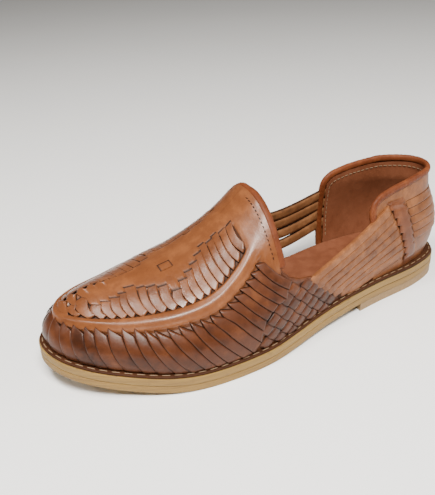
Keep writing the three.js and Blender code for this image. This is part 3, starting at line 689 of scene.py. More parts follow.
# %% Sole leather
def stacked_leather(name, light, mid, dark):
    """Cut edge of sole leather: long thin streaks along it, darker specks, dark lines at the joints."""
    m = Shader(name)
    joint = m.attribute("edge")
    streak = m.noise(1.0, 4.0, 0.65, vector=m.stretch(25, 25, 1400))
    broad = m.noise(1.0, 2.0, 0.5, vector=m.stretch(12, 12, 420))
    speck = m.noise(260.0, 2.0, 0.5)
    level = (streak * 0.8 + broad * 0.5 - 0.2).clamp()
    colour = m.mix(level.step(0.25, 0.85), mid, light)
    colour = m.mix(speck.step(0.62, 0.8) * 0.35, colour, dark)
    colour = m.mix((1 - streak.step(0.25, 0.42)) * 0.8, colour, dark)
    colour = m.mix(joint.step(0.2, 1.0) * 0.9, colour, tuple(v * 0.3 for v in dark))
    m.set(Base_Color=colour, Roughness=0.5 + streak * 0.25)
    m.bump(streak + speck * 0.4, 0.00018)
    print("finish:", name)
    return m.material


sole_leather = stacked_leather("sole_leather", (0.27, 0.160, 0.034), (0.18, 0.098, 0.019),
                               (0.07, 0.032, 0.007))
midsole_leather = stacked_leather("midsole_leather", (0.28, 0.170, 0.038), (0.19, 0.106, 0.022),
                                  (0.08, 0.036, 0.008))
layer("outsole_edge", sole_leather, 0.0, sole_bottom, lambda s: sole_bottom(s) + OUTSOLE + 0.05, "outsole",
      radius=0.28)
layer("midsole_edge", midsole_leather, 0.05, midsole_bottom, lambda s: midsole_bottom(s) + MIDSOLE + 0.1,
      "midsole", radius=0.28)

# %% [markdown]
# The welt is a narrow dark strip round the top of the sole, to which the upper is sewn. It is the same
# sweep, set a little inwards. The heel's rubber top piece already has its shape, so it only gets a
# finish.

# %% Welt and heel piece
welt_shader = Shader("welt_leather")
welt_cloud = welt_shader.noise(160.0, 3.0)
welt_shader.set(Base_Color=welt_shader.mix(welt_cloud, (0.018, 0.006, 0.003), (0.065, 0.024, 0.010)),
                Roughness=0.45 + welt_cloud * 0.25, Specular_IOR_Level=0.1)
welt_shader.bump(welt_shader.noise(700.0), 0.0001)
layer("welt_strip", welt_shader.material, 0.7, lambda s: welt_bottom(s) - 0.2,
      lambda s: welt_bottom(s) + WELT, "welt")

rubber = Shader("rubber")
rubber_grain = rubber.noise(600.0)
rubber.set(Base_Color=rubber.mix(rubber_grain, (0.16, 0.10, 0.05), (0.30, 0.19, 0.085)), Roughness=0.75)
rubber.bump(rubber_grain, 0.0001)
heel_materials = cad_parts["heel_lift"].data.materials
heel_materials.clear()
heel_materials.append(rubber.material)
print("heel_lift:", rubber.material.name)


# %% [markdown]
# The insole is one sheet of smooth leather that the foot rests on. Its border rises a little where it
# meets the wall, so the grid's rungs across the foot curl up at both ends.

# %% Insole
def insole():
    """Rungs across the foot with a soft rise at their ends: z = top + 1.2 |w|^6."""
    pile = Pile()
    half = np.linspace(0, 180, 181)
    w = np.linspace(-1, 1, 41)
    inset = EDGE_SHOW * reading(FORM, 6, outline_point(half)[1] / SOLE_LENGTH) + WALL + 0.4
    xa, sa = inset_point(half, inset)
    xb, sb = inset_point(360 - half, inset)
    t = (w[None] + 1) / 2
    gx, gs = xa[:, None] * (1 - t) + xb[:, None] * t, sa[:, None] * (1 - t) + sb[:, None] * t
    gz = feather(gs) + INSOLE + 1.2 * np.abs(w) ** 6
    pile.grid(np.stack([gx, gs, gz], -1), tone=0.05, facing=(0, 0, 1))
    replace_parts(pile.build("insole_sheet", lining_leather), "insole")


insole()


# %% [markdown]
# ## The front of the upper
#
# On the real shoe one soft sheet covers the foot, with slits through which the strips are woven, and a
# ridge is pinched up round the toe. The sheet is two grids for each side: rows below the ridge, then
# rows at one distance from the heel that run to the middle line. A second sheet inside is its lining.
# Where strips lie, the sheet sinks and is painted darker, a painted shade that makes the gaps between them
# look deep.
#
# `STRIP_S` holds the distances of the cuts between the strips over the vamp, and `STRIP_X` how far from
# the shoe's middle each strip ends, for the outer (1) and the inner side (-1).

# %% Vamp sheet
STRIP_S = np.array([276.5, 270.5, 265, 258.3, 252.8, 247.6, 242.2, 238, 231.5, 226.8, 221.1, 215.3, 209.5,
                    204.3, 199.5, 194.8, 190.2, 185.6, 181.4, 177.3, 173.1, 169.0])
STRIP_X = {
    1: np.array([4, 0.5, 0.5, 14, 14.5, 14.5, 13.7, 11.4, 15.5, 18.2, 21.6, 27.8, 24, 20.7, 17.7, 13.7, 9.5,
                 11.5, 10, 12, 12.5]),
    -1: np.array([4, 0.5, 0.5, 0, 0, 0, 0, 0, 0, 3, 7, 14, 12, 12, 12, 12, 9.5, 11.5, 10, 12, 12.5]),
}
STRIP_MIDDLES = (STRIP_S[1:] + STRIP_S[:-1]) / 2
STRIP_END = {side: rise_at_x(STRIP_MIDDLES, np.maximum(STRIP_X[side], 1.2)) for side in (1, -1)}
SHEET = 0.75
RIDGE_WIDTH = 0.075


def sheet_lift(side, s, share_from_ridge, x_away):
    """Height of the sheet above its solid: `SHEET` where it is plain, sunk under the strips."""
    limit = np.interp(s, STRIP_MIDDLES[::-1], STRIP_X[side][::-1])
    zone = smooth((s - 167) / 4) * smooth((277.5 - s) / 4) * smooth((share_from_ridge - 0.005) / 0.04)
    return SHEET - 1.6 * zone * smooth((x_away - limit - 1.0) / 2.0)


def vamp_sheet(pile, lift, ridge, tone, columns=150, outer=True, facing=1):
    """Wall rows up to the ridge's upper foot, then rows at one distance s to the middle line, for both
    sides. The ridge is a bell: ridge exp(-((share - 1) / width)^2), share being the rise over the ridge's
    rise."""
    f = np.linspace(0, 1, columns)
    shares = np.concatenate([np.linspace(0, 0.76, 8), np.linspace(0.8, 1.08, 15)])
    for side in (1, -1):
        start = turn_at(side, THROAT, ridge_rise(98.0) * shares)
        turn = start[:, None] + (180.0 - start[:, None]) * f[None]
        rise = ridge_rise(turn) * shares[:, None]
        start = turn_at(side, THROAT, rise[:, 0])
        turn = start[:, None] + (180.0 - start[:, None]) * f[None]
        p = upper_point(turn, rise)
        bump = np.exp(-((shares - 1.0) / RIDGE_WIDTH) ** 2)[:, None] * ridge
        fade = smooth((p[..., 1] - THROAT - 6) / 16)
        behind = THROAT - 3 + 10 * smooth((shares - 0.55) / 0.2)[:, None]
        under = smooth((0.87 - shares) / 0.05)[:, None] * smooth((p[..., 1] - behind) / 4)
        raised = SHEET - 1.75 * under if outer else 0.0
        wall = on_upper(turn, rise, lift + bump * fade + raised)
        wall[0, :, 2] = feather(wall[0, :, 1]) - 0.2
        # Where the sheet sinks under the strips, a lower tone and an edge value paint shade into the gaps.
        pile.grid(wall, tone=tone - 0.3 * under, edge=0.62 * under, facing=facing)
        s = p[-1, :, 1]
        c = np.linspace(0, 1, 40) ** 1.2
        rise = rise[-1][None] + (middle_rise(s) - rise[-1])[None] * c[:, None]
        turn = turn_at(side, s[None], rise)
        place = upper_point(turn, rise)
        away = np.abs(place[..., 0] - place[-1:, :, 0])
        share = shares[-1] * rise / rise[:1]
        bump = np.exp(-((share - 1.0) / RIDGE_WIDTH) ** 2) * ridge * fade[-1]
        extra = sheet_lift(side, place[..., 1], c[:, None] + 0 * away, away) if outer else 0.0 * away
        top = on_upper(turn, rise, lift + bump + extra)
        top[0] = wall[-1]
        # The edge value grows where the sheet sinks under the strips: painted shade in the gaps.
        pile.grid(top, tone=tone, edge=np.clip(SHEET - extra, 0, 0.8) * outer, facing=facing)


outer = Pile()
vamp_sheet(outer, 0.0, RIDGE_RISE, 0.62)
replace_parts(outer.build("vamp", vamp_leather), "upper")
inner = Pile()
vamp_sheet(inner, -WALL, 0.0, 0.4, columns=70, outer=False, facing=-1)
inner.build("vamp_lining", inner_leather)

# %% [markdown]
# Strips are ribbons with a flat section that is rounded at both borders. Their ends dive under the
# sheet through slits. A curve with a bevel could draw a ribbon, but it would not follow the foot. Here
# the section is laid on the upper's own surface, and only its lift above that surface is drawn. Strips
# that lie like tiles share one tilted section, `TILED`.

# %% Ribbon section
# Place across from -1 to 1, and height as a share of the strip's thickness.
SECTION = np.array([[-1, -1.2], [-1.0, 0.0], [-0.985, 0.5], [-0.93, 0.8], [-0.7, 0.93], [-0.25, 1.0],
                    [0.25, 1.0], [0.7, 0.93], [0.93, 0.8], [0.985, 0.5], [1.0, 0.0], [1, -1.2]])
# Darkness at the two borders of a strip: its dark cut side and painted shade in the gap beside it.
SECTION_EDGE = smooth((np.abs(SECTION[:, 0]) - 0.89) / 0.09)
DIVE_DEPTH = 1.3
TILED = {"height": 0.75, "tilt": -0.35, "base": 0.3}


def ribbon_lift(u, dive, height, tilt, base, depth=DIVE_DEPTH):
    """Lift and border of a ribbon at u along: height section(w) + tilt w, sunk by depth where it dives. The
    border is painted shade where it dives, on top of the section's dark sides. A negative dive is an end
    that stays up and is only painted dark, a painted shade where it runs under another piece."""
    hold = smooth(u / dive[0]) * (smooth((1 - u) / dive[1]) if dive[1] > 0 else 1.0)
    top = SECTION[:, 1] * height + tilt * SECTION[:, 0]
    lift = base + np.where(SECTION[:, 1] < -1, -depth, top) * hold - depth * (1 - hold)
    # Where the ribbon dives under the sheet its border darkens: painted shade in the slit.
    border = np.maximum(SECTION_EDGE + 0 * hold, smooth((0.8 - hold) / 0.3))
    if dive[1] < 0:
        # Painted shade at an end that runs under another piece.
        border = np.maximum(border, smooth((u - 1 - 2 * dive[1]) / -dive[1] * 1.6))
    return lift, border


def ribbons(pile, place, tones, along, dive, height, tilt, base):
    """place(k, u, w) gives (turn, rise) of ribbon k at u along it and w across it."""
    count = len(tones)
    k = np.arange(count)[:, None, None]
    end = abs(dive[1])
    inner = np.linspace(dive[0], 1 - 2.2 * end, along)
    u = np.concatenate([[0, dive[0] * 0.5], inner, 1 - end * np.array([1.6, 1.0, 0.5, 0.0])])[None, :, None]
    turn, rise = place(k, u, SECTION[:, 0][None, None, :])
    lift, border = ribbon_lift(u, dive, height, tilt, base)
    pile.grid(on_upper(turn, rise, np.broadcast_to(lift, turn.shape)),
              tone=np.broadcast_to(tones[:, None, None], turn.shape),
              edge=np.broadcast_to(border, turn.shape))


print("section of a strip:", len(SECTION), "points across")

# %% [markdown]
# Below the ridge the strips stand side by side round the toe, from the sole to a slanted end on the
# ridge, and each one overlaps the next like a tile. The table holds the edges between them, counted in
# strips from the toe.

# %% Strips below the ridge
SLAT_EDGES = np.array([-0.5, 0.5, 1.5, 2.5, 3.5, 4.3, 5.3, 6.4, 7.3])


def slat(side):
    """Strip k lies between two edges, from the sole to a slanted end on the ridge."""
    def place(k, u, w):
        first = k + (0 if side > 0 else 1)
        left, right = SLAT_EDGES[first], SLAT_EDGES[first + 1]
        slope = np.where(first == 0, 0.0, 1.0)
        top = 0.96 - slope * 0.17 * (w + 1) / 2
        return wall_place((left + right) / 2 + (right - left) * 0.487 * w, top * u, side)
    return place


side_strips = Pile()
for side in (1, -1):
    count = len(SLAT_EDGES) - 1 - (side < 0)
    ribbons(side_strips, slat(side), seed.uniform(0.15, 0.5, count), along=28, dive=(0.03, 0.04), **TILED)
print("strips round the toe:", 2 * (len(SLAT_EDGES) - 1) - 1)

# %% [markdown]
# Over the vamp the strips run straight across, from a point on the ridge to a slit beside the plain
# panel. A pointed end comes from a start that lies further along at both borders than in the middle.

# %% Strips over the vamp
def vamp_strip(side):
    """Strip k fills one step in s, from a pointed end on the ridge to its slit beside the plain panel."""
    def place(k, u, w):
        s0, s1 = STRIP_S[k], STRIP_S[k + 1]
        s = (s0 + s1) / 2 - (s0 - s1) * 0.488 * w
        ridge_here = ridge_rise(turn_at(1, (s0 + s1) / 2, ridge_rise(120.0)))
        start = ridge_here * (1.065 + 0.09 * np.abs(w + 0.15))
        end = np.minimum(STRIP_END[side][k] + 0.014, middle_rise(s) - 0.001)
        rise = start + (end - start) * u
        return turn_at(side, s + 1.8 * np.sin(np.pi * u ** 0.8) - 0.9, rise), rise
    return place


vamp_strips = Pile()
for side in (1, -1):
    ribbons(vamp_strips, vamp_strip(side), seed.uniform(0.35, 0.8, len(STRIP_MIDDLES)), along=22,
            dive=(0.025, -0.035), height=0.3, tilt=0.06, base=0.68)
vamp_strips.build("vamp_strips", vamp_strip_leather)

# %% [markdown]
# Between the strips a plain panel runs along the foot. Its border goes in stairs, one for each strip,
# and is turned down into the slits, where it is painted dark as the slits' shade. One short strip is
# woven through its middle and shows as a small square.

# %% Plain panel between the strips
def panel():
    """Rows along s with half width X(s) in stairs: each row runs c X from -X to X, its border bent down and
    painted dark as the shade of the slit.
    """
    s_rows = np.stack([STRIP_S[:-1] - 0.15, STRIP_S[1:] + 0.15], -1)
    fine = np.linspace(0, 1, 5)
    rows = (s_rows[:, :1] * (1 - fine) + s_rows[:, 1:] * fine).ravel()
    c = np.array([0, 0.3, 0.6, 0.85, 0.95, 0.99, 1.0, 1.0])
    drop = np.array([0, 0, 0, 0, 0.08, 0.3, 0.8, 2.0])
    middle = middle_rise(rows)
    fade = smooth((rows - 167) / 8) * smooth((278 - rows) / 5)
    halves = []
    for side in (1, -1):
        ends = np.repeat(STRIP_END[side], 5)
        rise = middle[:, None] + (ends - middle)[:, None] * c[None]
        turn = turn_at(side, rows[:, None], rise)
        halves.append(on_upper(turn, rise, (0.55 + 0.7 * fade)[:, None] - drop[None]))
    p = np.concatenate([halves[1][:, :0:-1], halves[0]], 1)
    # Painted shade of the slits along the turned-down border.
    shade = np.array([0, 0, 0, 0, 0.75, 1.0, 1.0, 1.0])
    border = np.concatenate([shade[:0:-1], shade])
    pile = Pile()
    pile.grid(p, tone=0.62, edge=np.broadcast_to(border, p.shape[:-1]))
    woven_square(pile)
    pile.build("vamp_panel", vamp_leather)


def woven_square(pile):
    """Patch 8 long and 6.5 wide whose inner border dips into the panel; that border and both sides are
    painted dark as shade.
    """
    s = np.linspace(206.9, 214.9, 10)
    c = np.linspace(0, 1, 12)
    x = 5.5 + 6.5 * c
    rise = np.stack([rise_at_x(s, x[k] + 0 * s) for k in range(12)], -1)
    across = np.minimum(np.linspace(0, 1, 10), np.linspace(1, 0, 10))
    slope = (0.35 + 0.65 * smooth((1.0 - c) / 0.6))[None] * smooth(across / 0.06)[:, None]
    lift = 1.25 + 0.55 * slope * smooth((c - 0.1) / 0.12)[None]
    # Painted shade at the inner border, where the patch dips into the panel, and along its two sides.
    dark = np.maximum(smooth((0.24 - c) / 0.08)[None], smooth((0.14 - across) / 0.05)[:, None])
    pile.grid(on_upper(turn_at(1, s[:, None], rise), rise, lift), tone=0.62, edge=dark)


panel()

# %% [markdown]
# ## The sides and the straps
#
# Behind the throat the sides are plaited into small squares, from which the straps run up and back to
# the counter. Each place here is given as it is seen from the side: a distance from the heel and a
# height. `QUARTER` is the top line of the plaited side, under the throat and down to the sole.

# %% The plaited side's top line
QUARTER = {
    1: np.array([[73, 24], [100, 22], [112, 27], [121, 36], [130, 43.0], [140, 45.2], [147, 48.5],
                 [151.5, 53], [153.5, 58], [156, 60.0]]),
    -1: np.array([[119, 23], [124, 36], [130, 50], [136, 57.6], [142, 58], [147, 59.8], [151.5, 62.5],
                  [153.5, 66], [156, 68.0]]),
}


def edge_grid(side, s, low, high, rows, lifts):
    """Rows of places from a low to a high height at each s, as points at the given lifts."""
    t = np.linspace(0, 1, rows)
    z = low[None] + (high - low)[None] * t[:, None]
    turn, rise = on_side(side, s[None] + 0 * z, z)
    return [on_upper(turn, rise, np.full(turn.shape, lift)) for lift in lifts]


print("top line:", {side: f"{len(rows)} places" for side, rows in QUARTER.items()})

# %% [markdown]
# From the ball backwards the strips grow longer and lean further back, until their ends are tucked
# under the plaited squares. No simple rule gives their lines, so each cut between two strips is a short
# row of places: the hole on the ridge, the corner of the next strip's slanted top, then points down to
# the sole or the hidden end.

# %% Long strips that run back from the ridge
TOE_CUT = upper_point(*wall_place(SLAT_EDGES[-1], np.array([0.96, 0.79, 0.6, 0.4, 0.2, 0.0]), 1))[:, 1:]
CUTS = [TOE_CUT] + [np.array(cut, float) for cut in (
    [(232.0, 39.0), (231.2, 34.9), (230, 31.2), (228.3, 28), (224.6, 22.0), (219.4, 15.3), (216, 11.3)],
    [(225.4, 39.2), (224.8, 34.9), (223.4, 32), (220.6, 27.4), (216.5, 21.8), (212, 16), (208.4, 11.3)],
    [(219.2, 39.8), (218.5, 35.2), (215.4, 31.2), (211.8, 25.6), (206.6, 18.1), (201, 11.3)],
    [(212.9, 40.8), (211.9, 36.2), (209.5, 31.6), (206.0, 26.5), (201.5, 20.1), (194.5, 11.3)],
    [(206.9, 41.0), (206.0, 36.9), (204.3, 33.5), (201.0, 29.3), (196.0, 23.6), (191.4, 18.4),
     (184.8, 11.3)],
    [(200.8, 41.8), (200.0, 37.6), (194.8, 31.9), (190, 26), (183.6, 18.8), (177.4, 11.6)],
    [(195.0, 43.4), (193.8, 39.5), (189.1, 35.9), (184.8, 31.4), (180.2, 26.0), (172.0, 17.0)],
    [(189.8, 45.6), (187.4, 42.3), (182.8, 38.1), (178.5, 33), (173.4, 27.6), (170.5, 24.4)],
    [(184.8, 48.2), (182.4, 45.1), (179.8, 42.1), (175, 37.0), (167.5, 30.0)],
    [(180.6, 50.8), (178.4, 48.5), (175.5, 45.7), (170, 39.9), (163.0, 33.4)],
    [(176.0, 53.9), (173.9, 51.2), (171.3, 48.0), (166, 43.2), (158.0, 36.6)],
    [(171.6, 57.4), (169.7, 54.7), (167.2, 51.8), (160.0, 44.9), (151.6, 37.2)],
    [(167.6, 61.2), (166.0, 58.2), (163.6, 54.9), (158.5, 49.4), (149.5, 42.6)],
    [(163.6, 65.2), (161.8, 61.8), (158.8, 58.0), (154.5, 53.4), (146.0, 46.8)],
)]


def even_steps(cut, shares):
    """Points at shares of the length along a cut."""
    run = run_of(cut)
    at = run[-1] * shares
    return np.stack([reading(np.c_[run, cut[:, i]], 1, at) for i in (0, 1)], -1)


steps = np.linspace(0, 1, 9)
CUTS.insert(1, (even_steps(CUTS[0], steps) + even_steps(CUTS[1], steps)) / 2)


def long_strip(side, k, tone):
    """Between cut k, from its hole, and cut k + 1, from its corner: place = left (1 - w) + right w."""
    dive = (0.035, 0.035)
    u = np.concatenate([[0, dive[0] * 0.5], np.linspace(dive[0], 1 - dive[1], 24), [1 - dive[1] * 0.5, 1]])
    left, right = even_steps(CUTS[k], u), even_steps(CUTS[k + 1][1:], u)
    w = (SECTION[:, 0] * 0.975 + 1) / 2
    place = left[:, None] * (1 - w)[None, :, None] + right[:, None] * w[None, :, None]
    turn, rise = on_side(side, place[..., 0], np.maximum(place[..., 1], feather(place[..., 0]) + 0.05))
    lift, border = ribbon_lift(u[:, None], dive, **TILED)
    side_strips.grid(on_upper(turn, rise, lift), tone=tone, edge=border)


for side in (1, -1):
    for k in range(len(CUTS) - 1):
        long_strip(side, k, seed.uniform(0.25, 0.6))
side_strips.build("side_strips", strip_leather)

# %% [markdown]
# Under the squares lies a thin sheet, and a second one inside is the lining. A narrow lip rolls over
# the top line from one to the other.

# %% Side base sheets
base, base_lining = Pile(), Pile()
for side in (1, -1):
    table = QUARTER[side]
    s = np.linspace(table[0, 0], table[-1, 0], 60)
    high = np.interp(s, table[:, 0], table[:, 1])
    outside, inside = edge_grid(side, s, feather(s) - 0.2, high, 16, (-0.5, -WALL))
    # The outer sheet is painted a little darker all over: painted shade in the gaps between the squares.
    base.grid(outside, tone=0.35, edge=0.5)
    base_lining.grid(inside, tone=0.4, facing=-1)
    lip_lifts = np.array([-0.5, 0.3, 0.2, -0.6, -1.5, -WALL])
    lip_rise = np.array([-2.5, -1.0, 0.3, 1.0, 0.4, -0.6])
    z = high[None] + lip_rise[:, None]
    turn, rise = on_side(side, s[None] + 0 * z, z)
    base.grid(on_upper(turn, rise, lip_lifts[:, None] + 0 * z), tone=0.5, edge=0.2)
base.build("side_base", strip_leather)
base_lining.build("side_lining", inner_leather)

# %% [markdown]
# In a plain plait one strip passes over another and then under the next, so only square after square of
# each strip is seen. Weaving whole strips would hide half the mesh. The squares alone are made, as
# copies of one small cushion.

# %% Plaited squares
# Heights, then the distances where the squares end in front and behind.
SQUARES_FRONT = [13, 20, 26, 32, 36, 39, 45], [178, 173, 170, 165, 159, 153, 147]
SQUARES_BACK = {1: ([15, 24, 31, 38, 44], [108, 112, 118, 123, 130]),
                -1: ([20, 36, 50, 58], [121, 127, 133, 139])}
LATTICE_START = np.array([146.0, 32.0])
LATTICE_STEPS = np.array([-5.2, -5.1]), np.array([-5.6, 4.3])
HALF_LONG, HALF_SHORT = 0.58, 0.475


def squares():
    """Lattice O + i A + j B seen from the side. Every second square is a piece of a strip along A, the
    others along B, each bulged across and bowed along: lift = h (1 - 0.8 v^10) (1 - 0.8 u^6) - 0.4."""
    pile = Pile()
    a, b = LATTICE_STEPS
    i, j = np.meshgrid(np.arange(-12, 13), np.arange(-12, 13), indexing="ij")
    i, j = i.ravel(), j.ravel()
    centre = LATTICE_START + i[:, None] * a + j[:, None] * b
    for side in (1, -1):
        s, z = centre.T
        top = np.interp(s, QUARTER[side][:, 0], QUARTER[side][:, 1])
        front = np.interp(z, *SQUARES_FRONT)
        back = np.interp(z, *SQUARES_BACK[side])
        keep = (s < front) & (s > back) & (z < top + 0.5) & (z > feather(s) + 0.5)
        c, even = centre[keep], ((i + j) % 2 == 0)[keep]
        u = np.linspace(-1, 1, 8)
        v = np.array([-1, -0.98, -0.85, -0.45, 0, 0.45, 0.85, 0.98, 1])
        uu, vv = np.meshgrid(u, v, indexing="ij")
        long_axis = np.where(even[:, None], a, b)[:, None, None]
        short_axis = np.where(even[:, None], b, a)[:, None, None]
        place = (c[:, None, None] + long_axis * uu[..., None] * HALF_LONG
                 + short_axis * vv[..., None] * HALF_SHORT)
        ceiling = np.interp(place[..., 0], QUARTER[side][:, 0], QUARTER[side][:, 1])
        place[..., 1] = np.clip(place[..., 1], feather(place[..., 0]) + 0.1, ceiling)
        turn, rise = on_side(side, place[..., 0], place[..., 1])
        lift = -0.4 + 1.25 * (1 - 0.8 * vv ** 10) * (1 - 0.8 * uu ** 6) - 0.5 * (np.abs(vv) > 0.99)
        tones = seed.uniform(0.15, 0.6, len(c))[:, None, None]
        # Dark borders: the strips' dark cut sides and painted shade where each square dips under its
        # neighbours.
        border = np.maximum(np.abs(uu), np.abs(vv)) ** 8
        pile.grid(on_upper(turn, rise, np.broadcast_to(lift, turn.shape)), tone=tones + 0 * turn,
                  edge=np.broadcast_to(border * 0.95, turn.shape))
        print(f"side {side}: {len(c)} squares")
    pile.build("plaited_squares", strip_leather)


squares()

# %% [markdown]
# A strap is a ribbon whose middle line is drawn as it is seen from the side, through a few places. Its
# underside is raw leather and shows through the gaps, so each strap gets a second, narrower ribbon that
# faces the foot.

# %% Ribbons seen from the side
ROW_STEP = 2.2
STRAP_HEIGHT = 0.9


def side_ribbon(pile, side, path, width, tone, dive, base, lining, tilt=0.0, upper_shade=1.0):
    """Ribbon along a path of (s, z): across it c + n w width / 2, with the section's lift on the surface.
    The underside is the same with a lift below the surface."""
    path = np.asarray(path, float)
    run = run_of(path)
    rows = np.stack([run, path[:, 0], path[:, 1]], -1)
    u = np.linspace(0, 1, max(int(run[-1] / ROW_STEP), 8))
    c = np.stack([reading(rows, 1, u * run[-1]), reading(rows, 2, u * run[-1])], -1)
    t = np.gradient(c, axis=0)
    t /= np.linalg.norm(t, axis=1, keepdims=True)
    n = np.stack([t[:, 1], -t[:, 0]], -1)
    w = SECTION[:, 0]
    widths = np.interp(u, np.linspace(0, 1, np.size(width)), np.atleast_1d(width))
    place = c[:, None] + n[:, None] * (w[None] * widths[:, None] / 2)[..., None]
    turn, rise = on_side(side, place[..., 0], place[..., 1])
    lift, border = ribbon_lift(u[:, None], dive, STRAP_HEIGHT, tilt, base)
    # Painted shade along a strap's borders; on the upper border it can be scaled down, as for the top strap,
    # which nothing lies over.
    border = border * np.where(w > 0, upper_shade, 1.0)
    pile.grid(on_upper(turn, rise, lift), tone=tone, edge=border)
    under = np.array([-0.98, -0.9, -0.3, 0.3, 0.9, 0.98])
    under_lift = np.array([-0.9, -1.45, -1.6, -1.6, -1.45, -0.9])
    under_edge = np.array([0.8, 0.3, 0, 0, 0.3, 0.8])
    place = c[:, None] + n[:, None] * (under[None] * widths[:, None] / 2)[..., None]
    turn, rise = on_side(side, place[..., 0], place[..., 1])
    lining.grid(on_upper(turn, rise, base * 0.4 + under_lift[None] + 0 * turn), tone=tone,
                edge=under_edge[None] + 0 * turn, facing=-1)


print("points across a ribbon:", len(SECTION))

# %% [markdown]
# On the outer side seven straps fan out from the plait to the counter's band, each lying a little over
# the one below. On the inner side four wider ones run apart, with gaps between them.

# %% Straps
straps, strap_undersides = Pile(), Pile()
OUTER_FRONT = np.array([[129, 40.4], [126, 36.2], [121, 31.8], [116, 27.6], [111, 23.6], [104, 20.6],
                        [97, 18.6]])
OUTER_REAR = np.array([[58.0, 64.6], [55.2, 59.4], [52.6, 53.8], [50.2, 48.2], [48.0, 42.6], [46, 37.0],
                       [44, 31.5]])
for k in range(6, -1, -1):
    front, rear = OUTER_FRONT[k], OUTER_REAR[k]
    path = [front + (front - rear) * 0.09, front * 0.67 + rear * 0.33 + [0, -1.6 + 0.2 * k],
            front * 0.33 + rear * 0.67 + [0, -1.9 + 0.2 * k], rear]
    side_ribbon(straps, 1, path, (6.6, 7.4, 7.8, 7.4), seed.uniform(0.35, 0.75), (0.13, 0.04),
                0.25 + 0.05 * (6 - k), strap_undersides, tilt=0.3, upper_shade=0.3 if k == 0 else 1.0)
INNER = [
    [(149, 55.5), (140, 54.0), (118, 53.2), (95, 55.2), (74, 58.8), (61, 63.0)],
    [(146, 47), (130, 45.4), (115, 45.9), (95, 47.9), (74, 51.0), (57.5, 54.5)],
    [(141, 38.3), (124, 37.4), (109, 38.1), (92, 39.9), (74, 43.2), (54.5, 46.5)],
    [(134, 29.8), (118, 28.9), (105, 29.8), (92, 31.9), (74, 35.2), (51.5, 38.5)],
]
for path in INNER:
    side_ribbon(straps, -1, path, (7.0, 7.0, 7.2, 7.4), seed.uniform(0.35, 0.75), (0.05, 0.05), 0.3,
                strap_undersides)
straps.build("straps", strap_leather)
strap_undersides.build("strap_undersides", raw_leather)

# %% [markdown]
# ## The counter
#
# The counter is a stiff cup round the heel, of two sheets with a stiffener between them. It is one grid
# for each sheet: columns round the heel from the inner front edge to the outer one, rows from the sole
# up to the rim. The columns crowd together towards the front edges, where the wall's outline turns
# most.

# %% Counter sheet
RIM = {1: TOP[1][11:, :], -1: TOP[-1][10:, :]}


def rim_height(side, s):
    """Height of the cut edge under the counter's binding."""
    rows = RIM[side]
    z = rows[:, 1] * INSTEP + rows[:, 2] * COUNTER
    return np.interp(s, rows[::-1, 0] * SOLE_LENGTH, z[::-1])


FRONT_OF_COUNTER = 0.2525 * SOLE_LENGTH


def counter_turns(columns, z, front=FRONT_OF_COUNTER):
    """Turns from the inner side's edge (negative) round the heel to the outer side's, at each height z."""
    outer_turn = on_side(1, front + 0 * z, z)[0]
    inner_turn = on_side(-1, front + 0 * z, z)[0] - 360
    c = np.linspace(0, 1, columns)
    c = 0.5 + np.sign(c - 0.5) * np.abs(2 * c - 1) ** 1.25 / 2
    return inner_turn[..., None] + (outer_turn - inner_turn)[..., None] * c


def counter_sheet(pile, lift, tone, facing=1):
    """Columns round the heel, rows z = foot + t (top - foot) from the sole to the rim. The rim's height
    depends on where a column ends, so both are found in a few rounds."""
    t = np.linspace(0, 1, 30)
    guess = 18 + 56 * t
    turns = counter_turns(110, guess)
    top = np.full(turns.shape[1], 74.0)
    for _ in range(5):
        at = upper_point(turns[-1], rise_on(turns[-1], top))[..., 1]
        top = np.where(turns[-1] > 0, rim_height(1, at), rim_height(-1, at))
    foot = feather(upper_point(turns[0], 0.0)[..., 1]) - 0.2
    z = foot[None] + (top - foot)[None] * t[:, None]
    turns = turns[0][None] + (turns[-1] - turns[0])[None] * t[:, None]
    p = on_upper(turns, rise_on(turns, z), lift + 0 * z)
    pile.grid(p, tone=tone, facing=facing)


counter, counter_inside = Pile(), Pile()
counter_sheet(counter, 0.0, 0.5)
counter_sheet(counter_inside, -WALL, 0.45, facing=-1)
counter.build("counter", strap_leather)
counter_inside.build("counter_lining", lining_leather)

# %% [markdown]
# A plain upright band covers the straps' ends on each side. The ends tucked under it push its borders
# out a little, one after the other, so both borders are sawn.

# %% Upright bands
COLUMN_Z = np.array([20, 30, 38, 46, 52, 58, 64, 69.0])
BAND_FRONT = np.array([44, 47.0, 49.5, 52.5, 55, 57.5, 60.5, 62.5])
BAND_BACK = np.array([34, 36.5, 38.5, 40.5, 42, 43.5, 45, 46.5])
END_STEP = 5.6


def bands(material):
    """Band between two edges: s runs from back(z) to front(z), both sawn by height z modulo one step."""
    pile = Pile()
    z = np.linspace(18.5, 69.5, 110)
    c = np.array([0, 0.0, 0.02, 0.08, 0.3, 0.5, 0.7, 0.92, 0.98, 1.0, 1.0])
    drop = np.array([2.0, 1.0, 0.3, 0.0, 0, 0, 0, 0, 0.3, 1.0, 2.0])
    saw_front = np.mod((z - 30) / END_STEP, 1.0) * 2.6 * (z > 27) * (z < 68)
    saw_back = np.mod((z - 38) / END_STEP, 1.0) * 2.0 * (z > 36) * (z < 68)
    front = np.interp(z, COLUMN_Z, BAND_FRONT) - saw_front
    back = np.interp(z, COLUMN_Z, BAND_BACK) + saw_back
    fade = smooth((z - 20) / 8) * smooth((70.5 - z) / 9) * 0.85 + 0.15
    for side in (1, -1):
        s = back[:, None] + (front - back)[:, None] * c[None]
        turn, rise = on_side(side, s, z[:, None] + 0 * s)
        p = on_upper(turn, rise, 2.1 * fade[:, None] - drop[None] * 1.2)
        # The turned-down borders are painted dark: painted shade where they turn down into the wall.
        pile.grid(p, tone=0.6, edge=np.clip(drop, 0, 1)[None] + 0 * s)
    pile.build("counter_bands", material)


